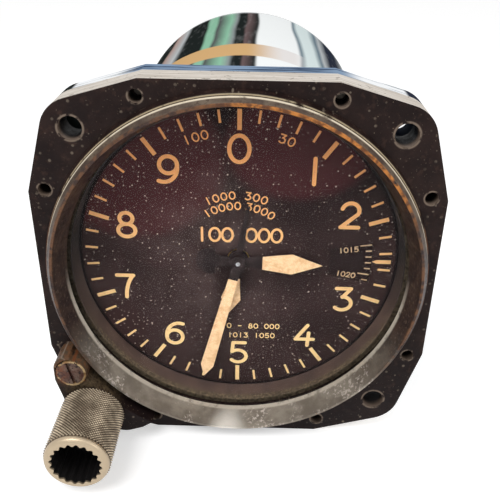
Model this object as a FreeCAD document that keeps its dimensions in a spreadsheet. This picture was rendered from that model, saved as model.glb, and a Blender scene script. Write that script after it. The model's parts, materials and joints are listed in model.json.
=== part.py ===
import FreeCAD, Part
import math
import os
import re
import Sketcher

# Three-pointer altimeter, panel mounted, in millimetres.
# The instrument axis is the Y axis. The face looks towards -Y and +Z is up.
# The origin is on the axis, in the plane of the square flange's front face.
# Angles are counted from +X towards +Z, so anticlockwise for someone facing the dial.

os.makedirs("parts", exist_ok=True)
doc = FreeCAD.newDocument("altimeter")

SIZES = {
    # Square flange, and the bright skirt of the case behind it
    "flange_half": 41.0,
    "flange_flat": 18.4,
    "corner_reach": 35.94,
    "corner_round": 7.0,
    "flange_thick": 6.6,
    "skirt_thick": 4.7,
    "mount_reach": 31.43,
    "mount_hole": 4.6,
    "small_near": 18.85,
    "small_far": 37.75,
    "small_hole": 2.6,
    "small_depth": 4.6,
    "case_screw_radius": 1.0,
    "case_head_radius": 2.08,
    "case_head_height": 1.6,
    # Case
    "case_radius": 36.6,
    "case_wall": 1.0,
    "case_rear": 112.7,
    "case_round": 6.0,
    "port_radius": 6.5,
    "port_bore": 4.3,
    "port_length": 6.0,
    # Bezel and glass
    "boss_foot": 39.5,
    "boss_top": 39.0,
    "boss_height": 2.0,
    "clamp_shoulder": 38.75,
    "clamp_rim": 37.8,
    "clamp_rim_width": 0.5,
    "clamp_height": 4.0,
    "clamp_thread": 37.2,
    "sight_radius": 35.7,
    "glass_front": 1.5,
    "glass_thick": 2.0,
    "glass_radius": 36.3,
    "seal_thick": 0.55,
    "mask_outer": 35.35,
    "mask_mouth": 35.2,
    "mask_inner": 34.85,
    # Dial and pressure scale
    "dial_front": 8.5,
    "dial_thick": 0.6,
    "dial_radius": 35.2,
    "dial_bore": 2.4,
    "window_inner": 20.0,
    "window_outer": 29.3,
    "window_low": 10.5,
    "window_high": 8.5,
    "scale_front": 9.3,
    "scale_thick": 0.45,
    "hub_radius": 17.0,
    "hub_lip": 1.2,
    # Fits
    "running": 0.03,
    "seat": 0.02,
    "air": 0.3,
    # Gears
    "tooth_top": 0.85,
    "tooth_foot": 1.15,
    "tooth_fill": 0.8,
    "ring_module": 0.75,
    "ring_teeth": 90,
    "ring_pinion_teeth": 10,
    "ring_idler_teeth": 10,
    "ring_front": 10.1,
    "ring_gear_thick": 0.7,
    "reduce_module": 0.5,
    "reduce_pinion_teeth": 8,
    "reduce_wheel_teeth": 17,
    "reduce_front": 4.8,
    "reduce_thick": 1.2,
    "scale_module": 0.6,
    "scale_teeth": 110,
    "scale_pinion_teeth": 8,
    "scale_idler_teeth": 12,
    "scale_wheel_reach": 41.5,
    "motion_reach": 7.8,
    "first_pinion_teeth": 8,
    "first_wheel_teeth": 24,
    "next_pinion_teeth": 9,
    "next_wheel_teeth": 30,
    "motion_front": 10.6,
    "motion_step": 0.95,
    "motion_thick": 0.6,
    "centre_module": 0.4,
    "centre_pinion_teeth": 8,
    "second_wheel_teeth": 32,
    "second_pinion_teeth": 8,
    "first_arbor_wheel_teeth": 72,
    "sector_module": 0.34,
    "sector_circle_teeth": 160,
    "sector_pinion_teeth": 8,
    "sector_teeth": 24,
    # Pointers, and where they stand
    "long_angle": 194.4,
    "medium_angle": 91.4,
    "short_angle": 189.1,
    "long_front": 6.0,
    "medium_front": 6.9,
    "short_front": 7.7,
    "pointer_thick": 0.25,
    "long_reach": 31.4,
    "medium_reach": 18.3,
    "short_reach": 14.0,
    # Shafts
    "arbor_radius": 0.5,
    "tube_wall": 0.25,
    "stud_radius": 0.5,
    "rocker_radius": 1.1,
    "pivot_radius": 0.6,
    # Knob and its shaft
    "knob_radius": 6.7,
    "knob_front": 22.4,
    "knob_back": 6.4,
    "knob_lip": 0.9,
    "socket_radius": 4.9,
    "socket_depth": 9.0,
    "serration_count": 20,
    "serration_deep": 0.45,
    "shaft_radius": 1.3,
    "bush_radius": 4.6,
    "bush_height": 5.8,
    "bush_thread": 3.2,
    "bush_depth": 3.3,
    "lock_x": 35.5,
    "lock_z": 21.5,
    "lock_collar_radius": 3.25,
    "lock_collar_height": 6.0,
    "lock_cup_depth": 1.15,
    "lock_cup_thick": 1.85,
    "lock_stem_radius": 1.9,
    "lock_head_radius": 2.8,
    "lock_slot": 0.7,
    "lock_lean": 13.0,
    # Mechanism
    "turntable_bore": 30.2,
    "turntable_journal": 33.35,
    "turntable_back": 13.4,
    "front_plate": 21.0,
    "plate_thick": 1.4,
    "plate_radius": 33.2,
    "plate_window": 6.5,
    "plate_window_reach": 20.0,
    "rear_plate": 34.0,
    "pillar_reach": 30.6,
    "pillar_radius": 1.5,
    "rocker_x": 24.0,
    "sector_slope": 25.0,
    "sector_rest": 26.77,
    "first_level": 23.2,
    "cock_level": 25.2,
    "second_level": 27.2,
    "third_level": 29.5,
    "wheel_thick": 0.8,
    "arm_reach": 6.0,
    "arm_level": 51.4,
    "arm_thick": 1.0,
    "arm_lean": 6.52,
    "rod_level": 53.6,
    "rod_radius": 0.7,
    "rod_block": 1.6,
    "pin_radius": 0.6,
    "capsule_radius": 15.0,
    "capsule_count": 3,
    "capsule_pitch": 7.2,
    "guide_depth": 5.4,
    "guide_overlap": 2.2,
    "bracket_x": 24.0,
    "bracket_thick": 2.0,
}

sheet = doc.addObject("Spreadsheet::Sheet", "sizes")
for row, (alias, value) in enumerate(SIZES.items(), start=1):
    sheet.set("A%d" % row, alias.replace("_", " "))
    sheet.set("B%d" % row, str(value))
    sheet.setAlias("B%d" % row, alias)
doc.recompute()


def size(alias):
    """A driving dimension, read back from the sheet."""
    return float(getattr(sheet, alias))


def bound(text):
    """Turns a sum of aliases into an expression on the sheet."""
    return re.sub(r"[a-z_]{3,}", lambda word: "sizes." + word.group(0), text)


nodes = []


def keep(shape_object, node):
    shape_object.Label = node
    nodes.append(shape_object)
    return shape_object


# Sketched bodies

def new_body(node):
    body = doc.addObject("PartDesign::Body", node)
    return keep(body, node)


def origin_plane(body, role):
    return [plane for plane in body.Origin.OriginFeatures if plane.Role == role][0]


def polygon_sketch(body, role, corners, level="0"):
    """A closed outline. Each corner is held by two dimensions bound to the sheet."""
    sketch = body.newObject("Sketcher::SketchObject", body.Name + "_outline")
    sketch.AttachmentSupport = (origin_plane(body, role), [""])
    sketch.MapMode = "FlatFace"
    sketch.setExpression("AttachmentOffset.Base.z", "-(%s)" % bound(level))
    count = len(corners)
    guess = []
    for i in range(count):
        turn = -2 * math.pi * i / count
        guess.append(FreeCAD.Vector(20 + math.cos(turn), math.sin(turn), 0))
    for i in range(count):
        sketch.addGeometry(Part.LineSegment(guess[i], guess[(i + 1) % count]), False)
    for i in range(count):
        sketch.addConstraint(Sketcher.Constraint("Coincident", i, 2, (i + 1) % count, 1))
    for i, (across, along) in enumerate(corners):
        for kind, text, start in (("DistanceX", across, guess[i].x), ("DistanceY", along, guess[i].y)):
            held = sketch.addConstraint(Sketcher.Constraint(kind, -1, 1, i, 1, start))
            sketch.setExpression("Constraints[%d]" % held, bound(text))
    return sketch


def circle_sketch(body, circles, level="0"):
    """Circles in a plane across the axis: each one is x, z and diameter."""
    sketch = body.newObject("Sketcher::SketchObject", body.Name + "_circles")
    sketch.AttachmentSupport = (origin_plane(body, "XZ_Plane"), [""])
    sketch.MapMode = "FlatFace"
    sketch.setExpression("AttachmentOffset.Base.z", "-(%s)" % bound(level))
    for i, (x, z, diameter) in enumerate(circles):
        guess = FreeCAD.Vector(5.0 * (i + 1), 3.0, 0)
        sketch.addGeometry(Part.Circle(guess, FreeCAD.Vector(0, 0, 1), 1.0), False)
        for kind, text, start in (("DistanceX", x, guess.x), ("DistanceY", z, guess.y)):
            held = sketch.addConstraint(Sketcher.Constraint(kind, -1, 1, i, 3, start))
            sketch.setExpression("Constraints[%d]" % held, bound(text))
        held = sketch.addConstraint(Sketcher.Constraint("Diameter", i, 2.0))
        sketch.setExpression("Constraints[%d]" % held, bound(diameter))
    return sketch


def revolve(body, corners, kind="PartDesign::Revolution"):
    """Turns a half section of radius and depth about the body's Y axis."""
    sketch = polygon_sketch(body, "XY_Plane", corners)
    turn = body.newObject(kind, body.Name + "_turn")
    turn.Profile = sketch
    turn.ReferenceAxis = (sketch, ["V_Axis"])
    turn.Angle = 360
    return turn


def pad(body, corners, level, thick):
    """Pads an outline of x and z from a level along the axis towards the back."""
    outline = polygon_sketch(body, "XZ_Plane", corners, level)
    plate = body.newObject("PartDesign::Pad", body.Name + "_pad")
    plate.Profile = outline
    plate.setExpression("Length", bound(thick))
    plate.Reversed = True
    return plate


def drill(body, circles, level, deep):
    """Round holes from a level towards the back."""
    hole = body.newObject("PartDesign::Pocket", body.Name + "_holes")
    hole.Profile = circle_sketch(body, circles, level)
    hole.setExpression("Length", bound(deep))
    hole.Reversed = False
    return hole


def place(shape_object, x="0", y="0", z="0"):
    """Sets a piece on its own axis, bound to the sheet."""
    for letter, text in (("x", x), ("y", y), ("z", z)):
        shape_object.setExpression("Placement.Base." + letter, bound(text))


def turned(node, corners, x="0", z="0"):
    body = new_body(node)
    revolve(body, corners)
    place(body, x=x, z=z)
    return body


# Round stock along the axis, several pieces to one node

def rod(name, x, z, front, back, radius):
    cylinder = doc.addObject("Part::Cylinder", name)
    cylinder.setExpression("Radius", bound(radius))
    cylinder.setExpression("Height", bound("(%s) - (%s)" % (back, front)))
    cylinder.Placement.Rotation = FreeCAD.Rotation(FreeCAD.Vector(1, 0, 0), -90)
    place(cylinder, x, front, z)
    return cylinder


def group(node, pieces):
    bundle = doc.addObject("Part::Compound", node)
    bundle.Links = pieces
    return keep(bundle, node)


# Gears

def polar(radius, angle, depth=0.0):
    return FreeCAD.Vector(radius * math.cos(angle), depth, radius * math.sin(angle))


def gear_outline(teeth, module, phase=0.0, count=None, back_radius=0.0):
    """Straight-flanked teeth. One tooth points at the phase angle. A count makes a sector of them."""
    pitch = teeth * module / 2
    tip = pitch + size("tooth_top") * module
    root = pitch - size("tooth_foot") * module
    half_tooth = size("tooth_fill") * math.pi / 2 / teeth
    points = []
    for i in range(int(count or teeth)):
        middle = phase + 2 * math.pi * i / teeth
        points.append(polar(root, middle - 1.2 * half_tooth))
        points.append(polar(tip, middle - 0.5 * half_tooth))
        points.append(polar(tip, middle + 0.5 * half_tooth))
        points.append(polar(root, middle + 1.2 * half_tooth))
    if count:
        points.append(polar(back_radius, phase + 2 * math.pi * (count - 0.5) / teeth))
        points.append(polar(back_radius, phase - math.pi / teeth))
    return points


def disc(radius, front, back):
    return Part.makeCylinder(radius, back - front, FreeCAD.Vector(0, front, 0), FreeCAD.Vector(0, 1, 0))


def gear(teeth, module, front, back, phase=0.0):
    points = gear_outline(teeth, module, phase)
    face = Part.Face(Part.makePolygon(points + points[:1]))
    blank = face.extrude(FreeCAD.Vector(0, back - front, 0))
    blank.translate(FreeCAD.Vector(0, front, 0))
    return blank


def mesh_phase(phase, teeth, next_teeth, direction):
    """The phase of a gear whose gap meets the first gear's tooth. The direction points to it."""
    pitch = 2 * math.pi / teeth
    ahead = (phase - direction + pitch / 2) % pitch - pitch / 2
    return direction + math.pi + math.pi / next_teeth - ahead * teeth / next_teeth


def shaped(node, shape, x=0.0, z=0.0):
    feature = doc.addObject("Part::Feature", node)
    feature.Shape = shape.removeSplitter()
    feature.Placement = FreeCAD.Placement(FreeCAD.Vector(x, 0, z), FreeCAD.Rotation())
    return keep(feature, node)


def triangle_angle(side, other, opposite):
    """The angle between two sides of a triangle."""
    return math.acos((side ** 2 + other ** 2 - opposite ** 2) / (2 * side * other))


def clockwise_from_top(degrees):
    return math.radians(90 - degrees)


# Where the gears stand

knob_reach = size("mount_reach") * math.sqrt(2)
knob_angle = math.radians(225)
knob_place = polar(knob_reach, knob_angle)

ring_pitch = size("ring_teeth") * size("ring_module") / 2
ring_pinion_pitch = size("ring_pinion_teeth") * size("ring_module") / 2
ring_idler_pitch = size("ring_idler_teeth") * size("ring_module") / 2
ring_idler_reach = ring_pitch + ring_idler_pitch
ring_idler_angle = knob_angle - triangle_angle(ring_idler_reach, knob_reach, ring_idler_pitch + ring_pinion_pitch)
ring_idler_place = polar(ring_idler_reach, ring_idler_angle)

reduce_centres = (size("reduce_pinion_teeth") + size("reduce_wheel_teeth")) * size("reduce_module") / 2
scale_wheel_angle = knob_angle + triangle_angle(size("scale_wheel_reach"), knob_reach, reduce_centres)
scale_wheel_place = polar(size("scale_wheel_reach"), scale_wheel_angle)
scale_idler_reach = (size("scale_teeth") + size("scale_idler_teeth")) * size("scale_module") / 2
scale_idler_centres = (size("scale_pinion_teeth") + size("scale_idler_teeth")) * size("scale_module") / 2
scale_idler_angle = scale_wheel_angle + triangle_angle(size("scale_wheel_reach"), scale_idler_reach,
                                                       scale_idler_centres)
scale_idler_place = polar(scale_idler_reach, scale_idler_angle)


def heading(start, end):
    return math.atan2(end.z - start.z, end.x - start.x)


axis_point = FreeCAD.Vector(0, 0, 0)

ring_pinion_phase = heading(knob_place, ring_idler_place)
ring_idler_phase = mesh_phase(ring_pinion_phase, size("ring_pinion_teeth"), size("ring_idler_teeth"),
                              heading(knob_place, ring_idler_place))
ring_phase = mesh_phase(ring_idler_phase, size("ring_idler_teeth"), size("ring_teeth"),
                        heading(ring_idler_place, axis_point))
reduce_pinion_phase = heading(knob_place, scale_wheel_place)
reduce_wheel_phase = mesh_phase(reduce_pinion_phase, size("reduce_pinion_teeth"), size("reduce_wheel_teeth"),
                                heading(knob_place, scale_wheel_place))
scale_pinion_phase = heading(scale_wheel_place, scale_idler_place)
scale_idler_phase = mesh_phase(scale_pinion_phase, size("scale_pinion_teeth"), size("scale_idler_teeth"),
                               heading(scale_wheel_place, scale_idler_place))
scale_phase = mesh_phase(scale_idler_phase, size("scale_idler_teeth"), size("scale_teeth"),
                         heading(scale_idler_place, axis_point))


def tip_radius(teeth, module):
    return size(module) * (size(teeth) / 2 + size("tooth_top"))


# Outer shells

def octagon():
    """Outline of the flange: straight middles that slope away to the four corners."""
    flat, half, reach = "flange_flat", "flange_half", "corner_reach"
    return [(flat, half), (reach, reach), (half, flat),
            (half, "-" + flat), (reach, "-" + reach), (flat, "-" + half),
            ("-" + flat, "-" + half), ("-" + reach, "-" + reach), ("-" + half, "-" + flat),
            ("-" + half, flat), ("-" + reach, reach), ("-" + flat, half)]


def corner_edges(body):
    """Names of the four edges that run back from the outline's corners."""
    reach = size("corner_reach")
    found = []
    for number, edge in enumerate(body.Shape.Edges, start=1):
        middle = edge.CenterOfMass
        upright = edge.Length > 0 and abs(edge.Vertexes[0].X - edge.Vertexes[-1].X) < 0.01
        if upright and abs(abs(middle.x) - reach) < 0.01 and abs(abs(middle.z) - reach) < 0.01:
            found.append("Edge%d" % number)
    return found


def circle_edges(body, radius, depth):
    found = []
    for number, edge in enumerate(body.Shape.Edges, start=1):
        curve = edge.Curve
        if isinstance(curve, Part.Circle) and abs(curve.Radius - radius) < 0.01 and abs(curve.Center.y - depth) < 0.01:
            found.append("Edge%d" % number)
    return found


def round_off(body, base, edges, radius):
    fillet = body.newObject("PartDesign::Fillet", body.Name + "_round")
    fillet.Base = (base, edges)
    fillet.setExpression("Radius", bound(radius))
    return fillet


MOUNT_CORNERS = [("-mount_reach", "mount_reach"), ("mount_reach", "mount_reach"), ("mount_reach", "-mount_reach")]
SMALL_PLACES = [("small_near", "small_far"), ("-small_near", "small_far"),
                ("small_near", "-small_far"), ("-small_near", "-small_far"),
                ("small_far", "small_near"), ("-small_far", "small_near"), ("small_far", "-small_near")]


def face_holes(body, places, diameter, level, deep):
    """The same hole at several places of the face."""
    drill(body, [(x, z, diameter) for x, z in places], level, deep)


def round_post(place_at, radius, front, back):
    """A cylinder along the axis at one place, used as a post or to cut a bore."""
    return Part.makeCylinder(radius, back - front, FreeCAD.Vector(place_at.x, front, place_at.z),
                             FreeCAD.Vector(0, 1, 0))


def cut_out(node, body, tools):
    """Cuts gear room from a sketched body and keeps the result as the node."""
    nodes.remove(body)
    body.Label = node + "_blank"
    room = doc.addObject("Part::Feature", node + "_room")
    room.Shape = tools[0].multiFuse(tools[1:]) if len(tools) > 1 else tools[0]
    cut = doc.addObject("Part::Cut", node + "_cut")
    cut.Base = body
    cut.Tool = room
    return keep(cut, node)


air = size("air")
skirt_back = size("flange_thick") + size("skirt_thick")
pocket_floor = size("ring_front") + size("ring_gear_thick") + air / 2
ring_gear_back = size("ring_front") + size("ring_gear_thick")
scale_back = size("scale_front") + size("scale_thick")
case_bore = size("case_radius") - size("case_wall")
reduce_back = size("reduce_front") + size("reduce_thick")

flange_body = new_body("front_flange_blank")
flange_pad = pad(flange_body, octagon(), "0", "flange_thick")
doc.recompute()
round_off(flange_body, flange_pad, corner_edges(flange_body), "corner_round")
revolve(flange_body, [("mask_outer", "0"), ("boss_foot", "0"), ("boss_top", "-boss_height"),
                      ("mask_outer", "-boss_height")])
revolve(flange_body, [("0", "-boss_height - air"), ("clamp_thread + seat", "-boss_height - air"),
                      ("clamp_thread + seat", "glass_front"), ("glass_radius + air / 2", "glass_front"),
                      ("glass_radius + air / 2", "glass_front + glass_thick + seal_thick"),
                      ("mask_outer + seat", "glass_front + glass_thick + seal_thick"),
                      ("mask_outer + seat", "flange_thick + air"), ("0", "flange_thick + air")],
        "PartDesign::Groove")
face_holes(flange_body, MOUNT_CORNERS, "mount_hole", "0", "flange_thick")
face_holes(flange_body, SMALL_PLACES, "small_hole", "0", "small_depth")
face_holes(flange_body, SMALL_PLACES, "2 * case_screw_radius + 2 * seat", "small_depth",
           "flange_thick - small_depth")
drill(flange_body, [("-mount_reach", "-mount_reach", "2 * bush_thread + 2 * seat")], "0", "bush_depth + air / 2")
drill(flange_body, [("-lock_x", "-lock_z", "2 * pin_radius + 2 * running")], "0", "flange_thick / 2")
doc.recompute()
cut_out("front_flange", flange_body, [
    round_post(knob_place, tip_radius("reduce_pinion_teeth", "reduce_module") + 1.5 * air,
                size("bush_depth"), size("flange_thick")),
    round_post(scale_wheel_place, tip_radius("reduce_wheel_teeth", "reduce_module") + air,
                size("reduce_front") - air, size("flange_thick")),
    round_post(scale_wheel_place, size("stud_radius") * 1.5, size("reduce_front") - 2, size("flange_thick")),
    round_post(ring_idler_place, size("stud_radius") * 1.5, size("reduce_front") - 1, size("flange_thick")),
    round_post(scale_idler_place, size("stud_radius"), size("reduce_front"), size("flange_thick")),
])

case_body = new_body("case_blank")
skirt_pad = pad(case_body, octagon(), "flange_thick", "skirt_thick")
doc.recompute()
round_off(case_body, skirt_pad, corner_edges(case_body), "corner_round")
barrel = revolve(case_body, [("0", "flange_thick"), ("case_radius", "flange_thick"), ("case_radius", "case_rear"),
                             ("0", "case_rear")])
doc.recompute()
round_off(case_body, barrel, circle_edges(case_body, size("case_radius"), size("case_rear")), "case_round")
hollow = revolve(case_body, [("0", "flange_thick - air"), ("case_radius - case_wall", "flange_thick - air"),
                             ("case_radius - case_wall", "case_rear - case_round"),
                             ("case_radius - case_round", "case_rear - case_wall"),
                             ("0", "case_rear - case_wall")], "PartDesign::Groove")
face_holes(case_body, MOUNT_CORNERS, "mount_hole", "flange_thick", "skirt_thick")
face_holes(case_body, SMALL_PLACES, "2 * case_screw_radius + air / 2", "flange_thick", "skirt_thick")
drill(case_body, [("0", "0", "2 * port_bore + case_wall + 2 * seat")], "case_rear - 2 * case_wall", "4 * case_wall")
doc.recompute()
cut_out("case_can", case_body, [
    round_post(knob_place, tip_radius("ring_pinion_teeth", "ring_module") + air, size("flange_thick") - air,
                pocket_floor),
    round_post(ring_idler_place, tip_radius("ring_idler_teeth", "ring_module") + air, size("flange_thick") - air,
                pocket_floor),
    round_post(scale_wheel_place, tip_radius("scale_pinion_teeth", "scale_module") + air,
                size("flange_thick") - air, pocket_floor),
    round_post(scale_idler_place, tip_radius("scale_idler_teeth", "scale_module") + air,
                size("flange_thick") - air, pocket_floor),
])

turned("static_port", [("port_bore", "case_rear - 2 * case_wall"), ("port_bore", "case_rear + port_length"),
                       ("port_radius", "case_rear + port_length"), ("port_radius", "case_rear"),
                       ("port_bore + 0.5 * case_wall", "case_rear"),
                       ("port_bore + 0.5 * case_wall", "case_rear - 2 * case_wall")])
case_shanks = [rod("case_screw_%d" % i, x, z, "small_depth + air / 2", "flange_thick + skirt_thick",
                   "case_screw_radius") for i, (x, z) in enumerate(SMALL_PLACES)]
case_heads = [rod("case_screw_head_%d" % i, x, z, "flange_thick + skirt_thick",
                  "flange_thick + skirt_thick + case_head_height",
                  "case_head_radius") for i, (x, z) in enumerate(SMALL_PLACES)]
group("case_screws", case_shanks + case_heads)

# Bezel, glass and dial

turned("clamp_ring", [("sight_radius", "glass_front - seat"), ("clamp_thread", "glass_front - seat"),
                      ("clamp_thread", "-boss_height - seat"), ("clamp_shoulder", "-boss_height - seat"),
                      ("clamp_shoulder", "-boss_height - clamp_rim_width"), ("clamp_rim", "-clamp_height"),
                      ("clamp_rim - clamp_rim_width", "-clamp_height")])
turned("cover_glass", [("0", "glass_front"), ("glass_radius", "glass_front"),
                       ("glass_radius", "glass_front + glass_thick"), ("0", "glass_front + glass_thick")])
turned("glass_seal", [("mask_outer + seat", "glass_front + glass_thick"),
                      ("glass_radius", "glass_front + glass_thick"),
                      ("glass_radius", "glass_front + glass_thick + seal_thick"),
                      ("mask_outer + seat", "glass_front + glass_thick + seal_thick")])
turned("mask_ring", [("mask_mouth", "glass_front + glass_thick + seat"),
                     ("mask_outer", "glass_front + glass_thick + seat"),
                     ("mask_outer", "dial_front"), ("mask_inner", "dial_front")])


def ring_sector(inner, outer, low, high, front, back):
    """A piece of a flat ring between two angles."""
    start = [polar(outer, low, front), polar(outer, (low + high) / 2, front), polar(outer, high, front)]
    finish = [polar(inner, high, front), polar(inner, (low + high) / 2, front), polar(inner, low, front)]
    wire = Part.Wire([Part.Arc(*start).toShape(), Part.makeLine(start[2], finish[0]),
                      Part.Arc(*finish).toShape(), Part.makeLine(finish[2], start[0])])
    return Part.Face(wire).extrude(FreeCAD.Vector(0, back - front, 0))


dial_back = size("dial_front") + size("dial_thick")
dial_blank = new_body("dial_blank")
revolve(dial_blank, [("dial_bore", "dial_front"), ("dial_radius", "dial_front"),
                     ("dial_radius", "dial_front + dial_thick"), ("dial_bore", "dial_front + dial_thick")])
cut_out("dial", dial_blank, [ring_sector(size("window_inner"), size("window_outer"),
                                         -math.radians(size("window_low")), math.radians(size("window_high")),
                                         size("dial_front") - air, dial_back + air)])

support_blank = new_body("dial_support_blank")
revolve(support_blank, [("scale_teeth * scale_module / 2 + 1", "dial_front + dial_thick"),
                        ("case_radius - case_wall - seat", "dial_front + dial_thick"),
                        ("case_radius - case_wall - seat", "ring_front + ring_gear_thick + seat"),
                        ("ring_teeth * ring_module / 2 + 1.1", "ring_front + ring_gear_thick + seat"),
                        ("ring_teeth * ring_module / 2 + 1.1", "ring_front - air / 2"),
                        ("scale_teeth * scale_module / 2 + 1", "ring_front - air / 2")])
cut_out("dial_support", support_blank, [
    round_post(ring_idler_place, tip_radius("ring_idler_teeth", "ring_module") + air, dial_back - air,
                pocket_floor + air),
    round_post(scale_idler_place, tip_radius("scale_idler_teeth", "scale_module") + air, dial_back - air,
                pocket_floor + air),
])
turned("bearing_ring", [("turntable_journal + running", "ring_front + ring_gear_thick + seat"),
                        ("case_radius - case_wall - seat", "ring_front + ring_gear_thick + seat"),
                        ("case_radius - case_wall - seat", "turntable_back"),
                        ("turntable_journal + running", "turntable_back")])

# Pressure scale, which turns behind the window

scale_disc = gear(size("scale_teeth"), size("scale_module"), size("scale_front"), scale_back, scale_phase)
shaped("pressure_scale", scale_disc.cut(disc(size("hub_radius") + size("running"), size("scale_front") - air,
                                             scale_back + air)))

# Knob, its shaft with both setting pinions, and the lock screw

knob_body = new_body("knob")
revolve(knob_body, [("shaft_radius + seat", "-knob_back"), ("knob_radius - knob_lip / 2", "-knob_back"),
                    ("knob_radius", "-knob_back - knob_lip / 2"), ("knob_radius", "-knob_front + knob_lip"),
                    ("knob_radius - knob_lip / 2", "-knob_front + knob_lip / 2"),
                    ("knob_radius - knob_lip", "-knob_front"), ("socket_radius", "-knob_front"),
                    ("socket_radius", "-knob_front + socket_depth"),
                    ("shaft_radius + seat", "-knob_front + socket_depth")])
notch = drill(knob_body, [("socket_radius", "0", "2 * serration_deep")], "-knob_front", "socket_depth")
doc.recompute()
notches = knob_body.newObject("PartDesign::PolarPattern", "serrations")
notches.Originals = [notch]
notches.Axis = ([axis for axis in knob_body.Origin.OriginFeatures if axis.Role == "Y_Axis"][0], [""])
notches.Angle = 360
notches.setExpression("Occurrences", bound("serration_count"))
knob_body.Tip = notches
place(knob_body, x="-mount_reach", z="-mount_reach")

shaft = disc(size("shaft_radius"), -size("knob_front") + size("socket_depth"), ring_gear_back)
shaft = shaft.fuse(gear(size("reduce_pinion_teeth"), size("reduce_module"), size("reduce_front"), reduce_back,
                        reduce_pinion_phase))
shaft = shaft.fuse(gear(size("ring_pinion_teeth"), size("ring_module"), size("ring_front"), ring_gear_back,
                        ring_pinion_phase))
shaped("setting_shaft", shaft, knob_place.x, knob_place.z)
turned("shaft_clip", [("shaft_radius", "bush_depth + seat"), ("1.8 * shaft_radius", "bush_depth + seat"),
                      ("1.8 * shaft_radius", "bush_depth + 2 * air"), ("shaft_radius", "bush_depth + 2 * air")],
       "-mount_reach", "-mount_reach")
turned("knob_bush", [("shaft_radius + running", "-bush_height"), ("bush_radius - air", "-bush_height"),
                     ("bush_radius", "-bush_height + air"), ("bush_radius", "0"), ("bush_thread", "0"),
                     ("bush_thread", "bush_depth"), ("shaft_radius + running", "bush_depth")],
       "-mount_reach", "-mount_reach")
turned("lock_collar", [("pin_radius + running", "-lock_collar_height + lock_cup_depth"),
                       ("lock_head_radius + running", "-lock_collar_height + lock_cup_depth"),
                       ("lock_head_radius + running", "-lock_collar_height"),
                       ("lock_collar_radius", "-lock_collar_height"),
                       ("lock_collar_radius", "-lock_collar_height + lock_cup_thick"),
                       ("lock_stem_radius", "-lock_collar_height + lock_cup_thick"),
                       ("lock_stem_radius", "0"), ("pin_radius + running", "0")], "-lock_x", "-lock_z")

lock_blank = new_body("lock_screw")
revolve(lock_blank, [("0", "-lock_collar_height"), ("lock_head_radius", "-lock_collar_height"),
                     ("lock_head_radius", "-lock_collar_height + lock_cup_depth - seat"),
                     ("pin_radius", "-lock_collar_height + lock_cup_depth - seat"),
                     ("pin_radius", "flange_thick / 3"), ("0", "flange_thick / 3")])
slot_outline = polygon_sketch(lock_blank, "XZ_Plane",
                              [("-lock_slot / 2", "-2 * lock_head_radius"), ("-lock_slot / 2", "2 * lock_head_radius"),
                               ("lock_slot / 2", "2 * lock_head_radius"), ("lock_slot / 2", "-2 * lock_head_radius")],
                              "-lock_collar_height")
slot = lock_blank.newObject("PartDesign::Pocket", "driver_slot")
slot.Profile = slot_outline
slot.setExpression("Length", bound("lock_cup_depth / 2"))
lock_blank.Placement.Rotation = FreeCAD.Rotation(FreeCAD.Vector(0, 1, 0), -size("lock_lean"))
place(lock_blank, x="-lock_x", z="-lock_z")

# Gears between the knob and the two big rings

shaped("ring_idler", gear(size("ring_idler_teeth"), size("ring_module"), size("ring_front"), ring_gear_back,
                          ring_idler_phase)
       .fuse(disc(3 * size("stud_radius"), size("flange_thick") + air, ring_gear_back))
       .cut(disc(1.5 * size("stud_radius") + size("running"), 0, skirt_back)),
       ring_idler_place.x, ring_idler_place.z)
shaped("scale_wheel", gear(size("reduce_wheel_teeth"), size("reduce_module"), size("reduce_front"), reduce_back,
                           reduce_wheel_phase)
       .fuse(disc(3 * size("stud_radius"), size("reduce_front"), scale_back))
       .fuse(gear(size("scale_pinion_teeth"), size("scale_module"), size("scale_front"), scale_back,
                  scale_pinion_phase))
       .cut(disc(1.5 * size("stud_radius") + size("running"), 0, skirt_back)),
       scale_wheel_place.x, scale_wheel_place.z)
shaped("scale_idler", gear(size("scale_idler_teeth"), size("scale_module"), size("scale_front"), scale_back,
                           scale_idler_phase)
       .fuse(disc(2 * size("stud_radius"), size("flange_thick") + air, scale_back))
       .cut(disc(size("stud_radius") + size("running"), 0, skirt_back)),
       scale_idler_place.x, scale_idler_place.z)


shaped("gear_studs", Part.makeCompound([
    round_post(ring_idler_place, 1.5 * size("stud_radius"), size("reduce_front") - 1, pocket_floor),
    round_post(scale_wheel_place, 1.5 * size("stud_radius"), size("reduce_front") - 2, pocket_floor),
    round_post(scale_idler_place, size("stud_radius"), size("reduce_front"), pocket_floor),
]))

# Motion work between the pointers, carried on a bridge behind the dial

motion_front = size("motion_front")
motion_step = size("motion_step")
motion_thick = size("motion_thick")
first_module = 2 * size("motion_reach") / (size("first_pinion_teeth") + size("first_wheel_teeth"))
next_module = 2 * size("motion_reach") / (size("next_pinion_teeth") + size("next_wheel_teeth"))
bridge_hub_back = size("motion_front") - air
bridge_rear_front = motion_front + 4 * motion_step
upper_stud = polar(size("motion_reach"), math.radians(90))
lower_stud = polar(size("motion_reach"), math.radians(270))
arbor = size("arbor_radius")
wall = size("tube_wall")
play = size("running")
medium_bush_outer = arbor + play + wall
medium_tube_outer = medium_bush_outer + play + wall
short_bush_outer = medium_tube_outer + play + wall
short_tube_outer = short_bush_outer + play + 1.4 * wall


def level(number):
    return motion_front + number * motion_step


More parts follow.
